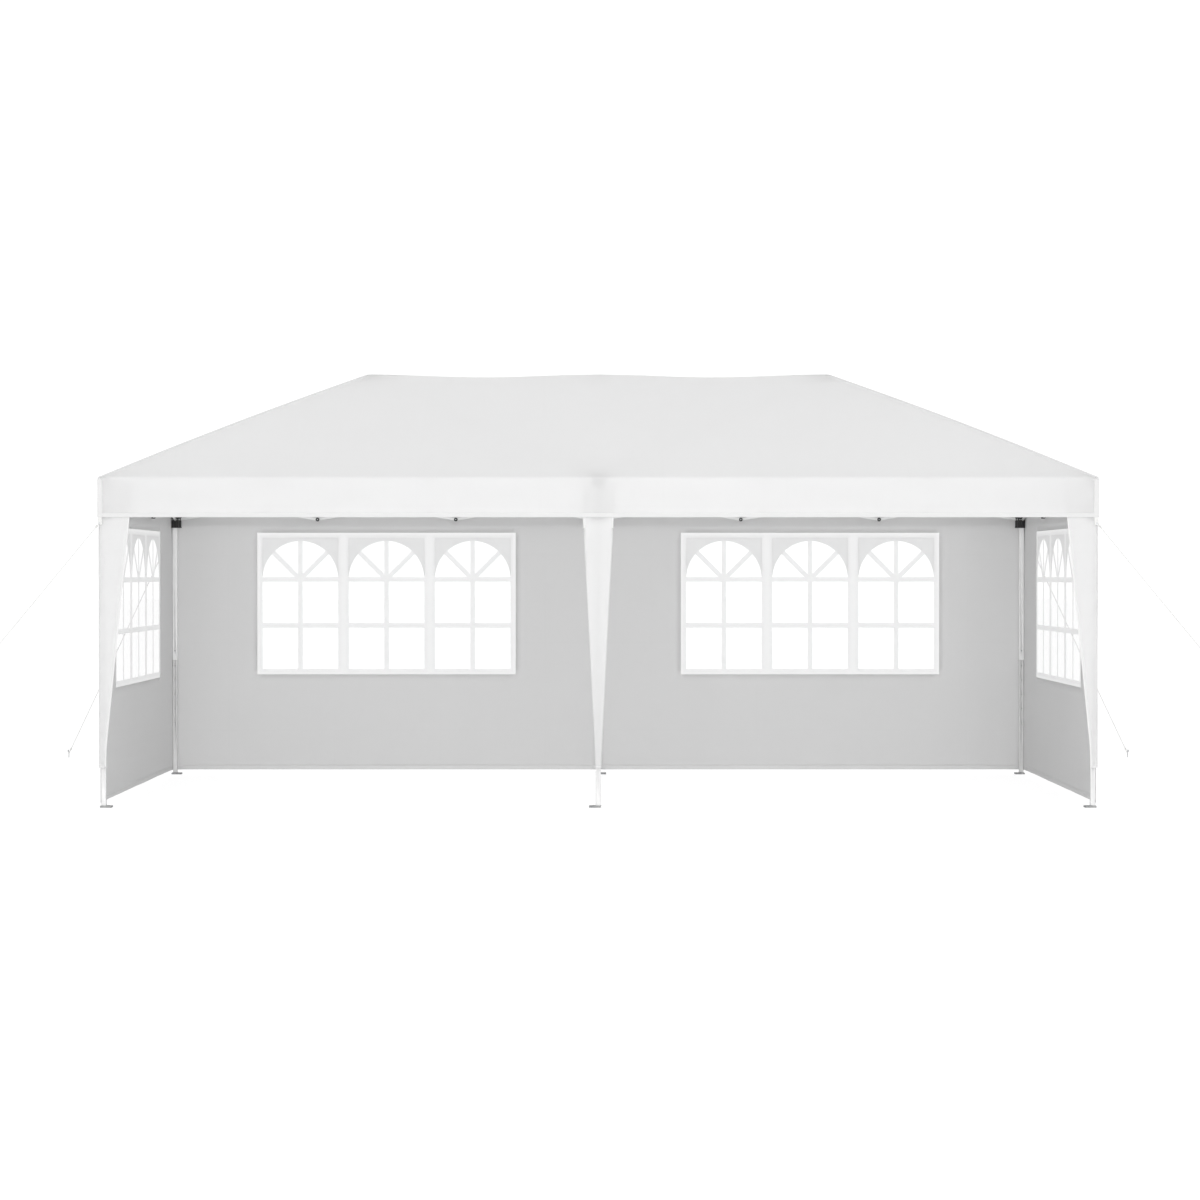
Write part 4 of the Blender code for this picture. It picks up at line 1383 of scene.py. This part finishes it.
class MARQUEE_OT_legs(bpy.types.Operator):
    """Stands the six telescopic legs on their foot plates"""
    bl_idname = "marquee.legs"
    bl_label = "Legs"

    def execute(self, context):
        corner = context.scene.marquee_parts.tube_corner
        upper = hollow_tube(UPPER_TUBE / 2, LEG_TUBE_BOTTOM, BRACKET_BOTTOM + TUBE_IN_BRACKET, corner)
        lower = hollow_tube(LOWER_TUBE / 2, FOOT_PLATE_THICKNESS, INNER_TUBE_TOP, corner * 0.9)
        upper_mesh = holed_tube("upper tube", upper, (BUTTON_HEIGHT,), BUTTON_HOLE)
        lower_mesh = holed_tube("lower tube", lower, STEP_HEIGHTS, STEP_HOLE)
        for leg, centre in LEGS.items():
            place = Matrix.Translation(centre)
            inwards = -1 if centre.y > 0 else 1
            # The upper tube, like the frame's other white parts, takes the lightened copy of the powder coat,
            # as painted light
            tube = piece("upper_tube_" + leg, upper_mesh, white_paint(), ["leg_" + leg], place)
            block = filled([bracket_outline(FORKS[leg])], BRACKET_BOTTOM, BRACKET_TOP - BRACKET_ROOM)
            bracket = piece(
                "top_bracket_" + leg, block, black_plastic(), place=place, parent=tube,
            )
            soften(bracket, 0.0012)
            bolts = pivot_bolts(FORKS[leg], UPPER_PIVOT)
            piece("top_bolts_" + leg, bolts, plated_steel(), place=place, parent=tube)
            # The inner tube takes the darkened copy of the powder coat, as painted shade
            inner = piece(
                "inner_tube_" + leg, lower_mesh, white_paint("rubbed_paint"),
                ["lower_leg_" + leg], place,
            )
            button = snap_button(inwards)
            piece("snap_button_" + leg, button, plated_steel(), place=place, parent=inner)
            foot = piece(
                "foot_plate_" + leg, foot_shape(centre, inwards), plate_grey(),
                place=place, parent=inner,
            )
            soften(foot, 0.0015)
        return {"FINISHED"}


class MARQUEE_OT_sliders(bpy.types.Operator):
    """Puts the black sliding brackets on the legs, under the valance"""
    bl_idname = "marquee.sliders"
    bl_label = "Sliders"

    def execute(self, context):
        half = UPPER_TUBE / 2 + SLIDER_ROOM
        hole = rounded(half, half, context.scene.marquee_parts.tube_corner)
        low_waist, high_waist = SLIDER_BOTTOM + SLIDER_BAND, SLIDER_TOP - SLIDER_BAND
        for leg, centre in LEGS.items():
            place = Matrix.Translation(centre)
            shape = bmesh.new()
            for low, high, shrink in (
                (SLIDER_BOTTOM, low_waist, 0.0), (low_waist, high_waist, SLIDER_WAIST),
                (high_waist, SLIDER_TOP, 0.0),
            ):
                band = mesh_of("band", filled([bracket_outline(FORKS[leg], shrink), hole], low, high))
                shape.from_mesh(band)
                bpy.data.meshes.remove(band)
            slider = piece(
                "slider_body_" + leg, shape, black_plastic(), ["slider_" + leg], place,
            )
            soften(slider, 0.0008)
            bolts = pivot_bolts(FORKS[leg], LOWER_PIVOT)
            piece("slider_bolts_" + leg, bolts, plated_steel(), place=place, parent=slider)
        return {"FINISHED"}


# Trusses, rafters and hubs

# Where each truss starts, and how far it is turned from the X axis
TRUSSES = {
    "truss_front_left": (-LEG_X, -LEG_Y, 0), "truss_front_right": (0.0, -LEG_Y, 0),
    "truss_back_left": (-LEG_X, LEG_Y, 0), "truss_back_right": (0.0, LEG_Y, 0),
    "truss_left_end": (-LEG_X, -LEG_Y, 90), "truss_right_end": (LEG_X, -LEG_Y, 90),
    "truss_middle": (0.0, -LEG_Y, 90),
}


def truss_parts(run, radius):
    """The bars, plastic joints and bolts of a truss that runs along X from one leg to the next."""
    bars, joints, bolts = bmesh.new(), bmesh.new(), bmesh.new()
    cell = (run - 2 * PIVOT_OFFSET) / TRUSS_CELLS
    across = (0, 1, 0)
    half = JOINT_LENGTH / 2
    for index in range(TRUSS_CELLS):
        start = PIVOT_OFFSET + index * cell
        for plane, from_height, to_height in (
            (-BAR_PLANE, UPPER_PIVOT, LOWER_PIVOT), (BAR_PLANE, LOWER_PIVOT, UPPER_PIVOT),
        ):
            low, high = Vector((start, plane, from_height)), Vector((start + cell, plane, to_height))
            past = (high - low).normalized() * BAR_OVERRUN
            straight_bar(bars, low - past, high + past, BAR_THICKNESS / 2, BAR_HEIGHT / 2, 0.0035)
        spots = [(start + cell / 2, (UPPER_PIVOT + LOWER_PIVOT) / 2, 0.8)]
        if index > 0:
            spots += [(start, UPPER_PIVOT, 1.0), (start, LOWER_PIVOT, 1.0)]
        for along, height, size in spots:
            reach = JOINT_RADIUS * size
            turned(joints, (along, 0, height), across, [
                (reach * 0.82, -half), (reach * 0.97, -half + 0.0012), (reach, -half + 0.003),
                (reach, half - 0.003), (reach * 0.97, half - 0.0012), (reach * 0.82, half),
            ], 24)
            bolt(bolts, (along, 0, height), across, half, radius)
    return bars, joints, bolts


def post_cap():
    """The rounded cap on the middle post, which bears the ridge without tearing it."""
    cap = bmesh.new()
    neck, reach = POST_SIZE * 0.66, POST_CAP_RADIUS
    turned(cap, (0, 0, POST_TOP), (0, 0, 1), [
        (0.010, -0.055), (neck, -0.050), (neck, -0.006), (reach * 0.92, -0.004), (reach, 0.0),
        (reach * 0.93, 0.007), (reach * 0.7, 0.014), (reach * 0.35, 0.018), (0.001, 0.020),
    ], 32)
    return cap


class MARQUEE_OT_trusses(bpy.types.Operator):
    """Pins the scissor trusses between the legs and stands the middle post on its truss"""
    bl_idname = "marquee.trusses"
    bl_label = "Trusses"

    def execute(self, context):
        meshes = {}
        for turn, run in ((0, LEG_X), (90, 2 * LEG_Y)):
            shapes = truss_parts(run, context.scene.marquee_parts.bolt * 0.8)
            kinds = ("truss bars", "truss joints", "truss bolts")
            meshes[turn] = [mesh_of(f"{kind} {turn}", shape) for kind, shape in zip(kinds, shapes)]
        for name, (x, y, turn) in TRUSSES.items():
            place = Matrix.Translation((x, y, 0)) @ Matrix.Rotation(math.radians(turn), 4, "Z")
            bars, joints, bolts = meshes[turn]
            truss = piece(name + "_bars", bars, white_paint(), [name], place)
            piece(name + "_joints", joints, black_plastic(), place=place, parent=truss)
            piece(name + "_bolts", bolts, plated_steel(), place=place, parent=truss)
        post = bmesh.new()
        foot = (0, 0, (UPPER_PIVOT + LOWER_PIVOT) / 2 - 0.02)
        straight_bar(post, foot, (0, 0, POST_TOP), POST_SIZE / 2, POST_SIZE / 2, 0.003)
        middle_truss = bpy.data.objects["truss_middle_bars"]
        standing = piece("peak_post", post, white_paint(), parent=middle_truss)
        piece("peak_post_cap", post_cap(), black_plastic(), parent=standing)
        return {"FINISHED"}


def rafter(bars, sockets, leg_x, leg_y, hub_x):
    """A bar from a leg's top to a hub, in a plastic socket at both ends."""
    leg, hub = Vector((leg_x, leg_y, 0)), Vector((hub_x, 0, 0))
    inwards = (hub - leg).normalized()
    low = leg + inwards * RAFTER_START + Vector((0, 0, RAFTER_START_HEIGHT))
    high = hub - inwards * HUB_RADIUS / 2 + Vector((0, 0, RAFTER_END_HEIGHT))
    way = (high - low).normalized()
    half = RAFTER_SIZE / 2
    straight_bar(bars, low, high, half, half, 0.003)
    straight_bar(sockets, low - way * 0.016, low + way * 0.030, half + 0.002, half + 0.001, 0.004)
    straight_bar(sockets, high - way * 0.085, high, half + 0.0025, half + 0.0025, 0.004)


class MARQUEE_OT_rafters(bpy.types.Operator):
    """Raises the rafters to their two hubs"""
    bl_idname = "marquee.rafters"
    bl_label = "Rafters"

    def execute(self, context):
        for name, side in (("rafters_left", -1), ("rafters_right", 1)):
            bars, sockets = bmesh.new(), bmesh.new()
            for leg_x in sorted((0.0, side * LEG_X)):
                for leg_y in (-LEG_Y, LEG_Y):
                    rafter(bars, sockets, leg_x, leg_y, side * HUB_X)
            turned(sockets, (side * HUB_X, 0, 0), (0, 0, 1), [
                (HUB_RADIUS * 0.4, HUB_BOTTOM - 0.012), (HUB_RADIUS * 0.55, HUB_BOTTOM - 0.010),
                (HUB_RADIUS * 0.62, HUB_BOTTOM), (HUB_RADIUS * 0.94, HUB_BOTTOM + 0.003),
                (HUB_RADIUS, HUB_BOTTOM + 0.008), (HUB_RADIUS, HUB_TOP - 0.006),
                (HUB_RADIUS * 0.95, HUB_TOP), (HUB_RADIUS * 0.75, HUB_TOP + 0.014),
                (HUB_RADIUS * 0.45, HUB_TIP - 0.010), (HUB_RADIUS * 0.2, HUB_TIP - 0.003), (0.001, HUB_TIP),
            ], 40)
            rafters = piece(name + "_bars", bars, white_paint(), [name])
            piece(name + "_hub", sockets, black_plastic(), parent=rafters)
        return {"FINISHED"}


# Guy ropes and pegs

ROPE_RADIUS, ROPE_SAG = 0.0025, 0.006
# The back right rope's upper end and its peg, of which the other corners are mirror images
ROPE_TOP, PEG = Vector((2.990, 1.4985, 1.705)), Vector((4.05, 3.30, 0.0))
ROPE_WAY = Vector((PEG.x - ROPE_TOP.x, PEG.y - ROPE_TOP.y, 0.0)).normalized()
ROPE_END_HEIGHT, ROPE_END_GAP = 0.035, 0.0055
PEG_RADIUS, PEG_SHAFT_TOP, PEG_HOOK_RADIUS = 0.003, 0.048, 0.009
TAB_WIDTH, TAB_BOTTOM = 0.025, 1.695


def coil(centre, axis, radius, turns, pitch, steps=14):
    """Points of a rope wound round an axis."""
    turn = Vector(axis).normalized().to_track_quat("Z", "X").to_matrix()
    points = []
    for index in range(int(turns * steps) + 1):
        way = 2 * math.pi * index / steps
        height = pitch * (index / steps - turns / 2)
        points.append(centre + turn @ Vector((radius * math.cos(way), radius * math.sin(way), height)))
    return points


def rope_shape(top, end):
    """A taut rope that sags a little, whipped at its ends, with an eye above and a loop round its peg."""
    shape = bmesh.new()
    way = (end - top).normalized()
    count = 80
    line = [
        top.lerp(end, step / count) - Vector((0, 0, ROPE_SAG * math.sin(math.pi * step / count)))
        for step in range(count + 1)
    ]
    swept(shape, line, circle(ROPE_RADIUS, 10))
    strand = circle(ROPE_RADIUS * 0.9, 8)
    for spot in (top + way * 0.030, end - way * 0.050):
        swept(shape, coil(spot, way, ROPE_RADIUS * 1.75, 4, ROPE_RADIUS * 1.9), strand, up=way)
    aside = way.cross(Vector((0, 0, 1))).normalized()
    swept(shape, coil(top, aside, 0.008, 1, 0.0, 24)[:-1], strand, up=aside, closed=True)
    peg = end + Vector((way.x, way.y, 0)).normalized() * ROPE_END_GAP
    loop = coil(peg, (0, 0, 1), PEG_RADIUS + ROPE_RADIUS * 0.95, 1, 0.0, 20)
    swept(shape, loop[:-1], strand, closed=True)
    return shape


def tab_shape(spot):
    """The strap sewn inside the valance's corner, which carries the rope's eyelet."""
    shape = bmesh.new()
    strap = [Vector((spot.x, spot.y, height)) for height in evenly(TAB_BOTTOM, VALANCE_BOTTOM + 0.02, 10)]
    swept(shape, strap, rounded(0.0011, TAB_WIDTH / 2, 0.001, 2), up=(1, 0, 0))
    return shape


def eyelet_shape(spot):
    """The metal ring in the tab, round which the rope's eye is tied."""
    shape = bmesh.new()
    turned(shape, spot, (0, 1, 0), [
        (0.0045, -0.0022), (0.0075, -0.0022), (0.0082, -0.0012), (0.0082, 0.0012), (0.0075, 0.0022),
        (0.0045, 0.0022),
    ], 24)
    return shape


def peg_shape(foot, away):
    """A round peg whose hook points away from the marquee."""
    shape = bmesh.new()
    turn = Matrix.Rotation(math.atan2(away.y, away.x), 3, "Z")
    hook = [Vector((0, 0, height)) for height in evenly(0.0, PEG_SHAFT_TOP, 6)]
    for bend in evenly(0.0, math.pi, 12)[1:]:
        over, up = 1 - math.cos(bend), math.sin(bend)
        hook.append(Vector((PEG_HOOK_RADIUS * over, 0, PEG_SHAFT_TOP + PEG_HOOK_RADIUS * up)))
    hook += [hook[-1] - Vector((0, 0, 0.003)), hook[-1] - Vector((0, 0, 0.006))]
    path = [foot + turn @ point for point in hook]
    swept(shape, path, circle(PEG_RADIUS, 14), up=turn @ Vector((0, 1, 0)))
    return shape


class MARQUEE_OT_stays(bpy.types.Operator):
    """Ties the guy ropes from the corners of the valance to their pegs"""
    bl_idname = "marquee.stays"
    bl_label = "Guy ropes and pegs"

    def execute(self, context):
        for corner, side_x, side_y in (
            ("front_left", -1, -1), ("front_right", 1, -1), ("back_left", -1, 1), ("back_right", 1, 1),
        ):
            mirror = Vector((side_x, side_y, 1))
            top = ROPE_TOP * mirror
            end = (PEG - ROPE_WAY * ROPE_END_GAP + Vector((0, 0, ROPE_END_HEIGHT))) * mirror
            rope = piece(
                "guy_line_" + corner, rope_shape(top, end), braided(),
                ["guy_rope_" + corner], smooth_below=60.0,
            )
            tab = tab_shape((ROPE_TOP - Vector((TAB_WIDTH / 4, 0, 0))) * mirror)
            piece("rope_tab_" + corner, tab, braided(), parent=rope)
            piece("eyelet_" + corner, eyelet_shape(top), plated_steel(), parent=rope)
            peg = peg_shape(PEG * mirror, ROPE_WAY * mirror)
            piece("ground_peg_" + corner, peg, plated_steel(), ["peg_" + corner])
        return {"FINISHED"}


# Stage

FLOOR_RADIUS, FLOOR_TOP, FLOOR_THICKNESS = 150.0, -0.0005, 0.05
LAMP_PLACE, LAMP_TARGET, LAMP_SIZE = Vector((0.4, -16.0, 1.2)), Vector((0.0, 0.0, 1.2)), (9.0, 2.0)


def stage_floor(settings):
    """A large pale floor. It shows nearly even white, and lights the marquee as a plain floor does."""
    shape = bmesh.new()
    edge = [(FLOOR_RADIUS, FLOOR_TOP - FLOOR_THICKNESS), (FLOOR_RADIUS, FLOOR_TOP)]
    turned(shape, (0, 0, 0), (0, 0, 1), edge, 96)
    look = Look("floor", {"Specular IOR Level": 0.1})
    mottle = look.noise(look.place(), 0.8, 3.0)
    look.wear(colour=look.blend(mottle, (0.86, 0.86, 0.86, 1.0), (0.88, 0.88, 0.88, 1.0)), roughness=0.9)
    glow = look.node("ShaderNodeEmission", None, {"Color": WHITE, "Strength": settings.backdrop})
    seen = look.node("ShaderNodeLightPath").part("Is Camera Ray")
    look.mixed(seen * (settings.floor_white - settings.floor_light) + settings.floor_light, glow)
    floor = added("stage_floor", mesh_of("stage_floor", shape))
    floor.data.materials.append(look.material)


def stage_sky(settings):
    """Even white in the picture, and a soft even light on the marquee."""
    world = bpy.data.worlds.new("studio")
    bpy.context.scene.world = world
    world.use_nodes = True
    sky = Nodes(world.node_tree)
    seen = sky.node("ShaderNodeLightPath").part("Is Camera Ray")
    aside = sky.split(sky.node("ShaderNodeTexCoord").part("Generated")).part("X")
    soft = settings.sky * (1 - settings.side_shade * aside * aside)
    background = world.node_tree.nodes["Background"]
    sky.feed(background.inputs["Color"], WHITE)
    sky.feed(background.inputs["Strength"], seen * settings.backdrop + (1 - seen) * soft)


def front_light(power):
    """A wide, low lamp far in front, which lights the inside evenly under the valance."""
    lamp = bpy.data.lights.new("front light", "AREA")
    lamp.shape = "RECTANGLE"
    lamp.size, lamp.size_y = LAMP_SIZE
    lamp.energy = power
    made = added("front light", lamp)
    made.location = LAMP_PLACE
    made.rotation_euler = (LAMP_TARGET - LAMP_PLACE).to_track_quat("-Z", "Y").to_euler()


class MARQUEE_OT_stage(bpy.types.Operator):
    """Sets up the camera, the pale floor and soft studio light"""
    bl_idname = "marquee.stage"
    bl_label = "Stage and camera"

    def execute(self, context):
        settings = context.scene.marquee_stage
        context.scene.view_settings.view_transform = "Standard"
        optics = bpy.data.cameras.new("camera")
        optics.lens = settings.focal_length
        optics.clip_end = 400.0
        camera = added("camera", optics)
        camera.location = (0.0, -settings.camera_distance, settings.camera_height)
        camera.rotation_euler = (math.pi / 2 - settings.camera_pitch, 0.0, settings.camera_yaw)
        context.scene.camera = camera
        stage_sky(settings)
        stage_floor(settings)
        front_light(settings.front_light)
        return {"FINISHED"}


# Panel and registration

class MARQUEE_PT_pieces(bpy.types.Panel):
    """Lists the marquee's pieces and their settings"""
    bl_idname = "MARQUEE_PT_pieces"
    bl_label = "Party marquee"
    bl_space_type = "VIEW_3D"
    bl_region_type = "UI"
    bl_category = "Marquee"

    def draw(self, context):
        for operator in OPERATORS:
            self.layout.operator(operator.bl_idname)
        for group in SETTINGS:
            box = self.layout.box()
            settings = getattr(context.scene, group)
            for name in settings.bl_rna.properties.keys():
                if name not in ("rna_type", "name"):
                    box.prop(settings, name)


SETTINGS = {
    "marquee_cloth": MarqueeCloth, "marquee_windows": MarqueeWindows, "marquee_parts": MarqueeFrameParts,
    "marquee_stage": MarqueeStage,
}
OPERATORS = (
    MARQUEE_OT_stage, MARQUEE_OT_canopy, MARQUEE_OT_walls, MARQUEE_OT_windows, MARQUEE_OT_leg_covers,
    MARQUEE_OT_legs, MARQUEE_OT_sliders, MARQUEE_OT_trusses, MARQUEE_OT_rafters, MARQUEE_OT_stays,
)


def register():
    for group in (*SETTINGS.values(), *OPERATORS, MARQUEE_PT_pieces):
        bpy.utils.register_class(group)
    for name, group in SETTINGS.items():
        setattr(bpy.types.Scene, name, PointerProperty(type=group))


def unregister():
    for name in SETTINGS:
        delattr(bpy.types.Scene, name)
    for group in (MARQUEE_PT_pieces, *reversed(OPERATORS), *reversed(SETTINGS.values())):
        bpy.utils.unregister_class(group)


def main():
    register()
    for operator in OPERATORS:
        group, name = operator.bl_idname.split(".")
        getattr(getattr(bpy.ops, group), name)()


if __name__ == "__main__":
    main()
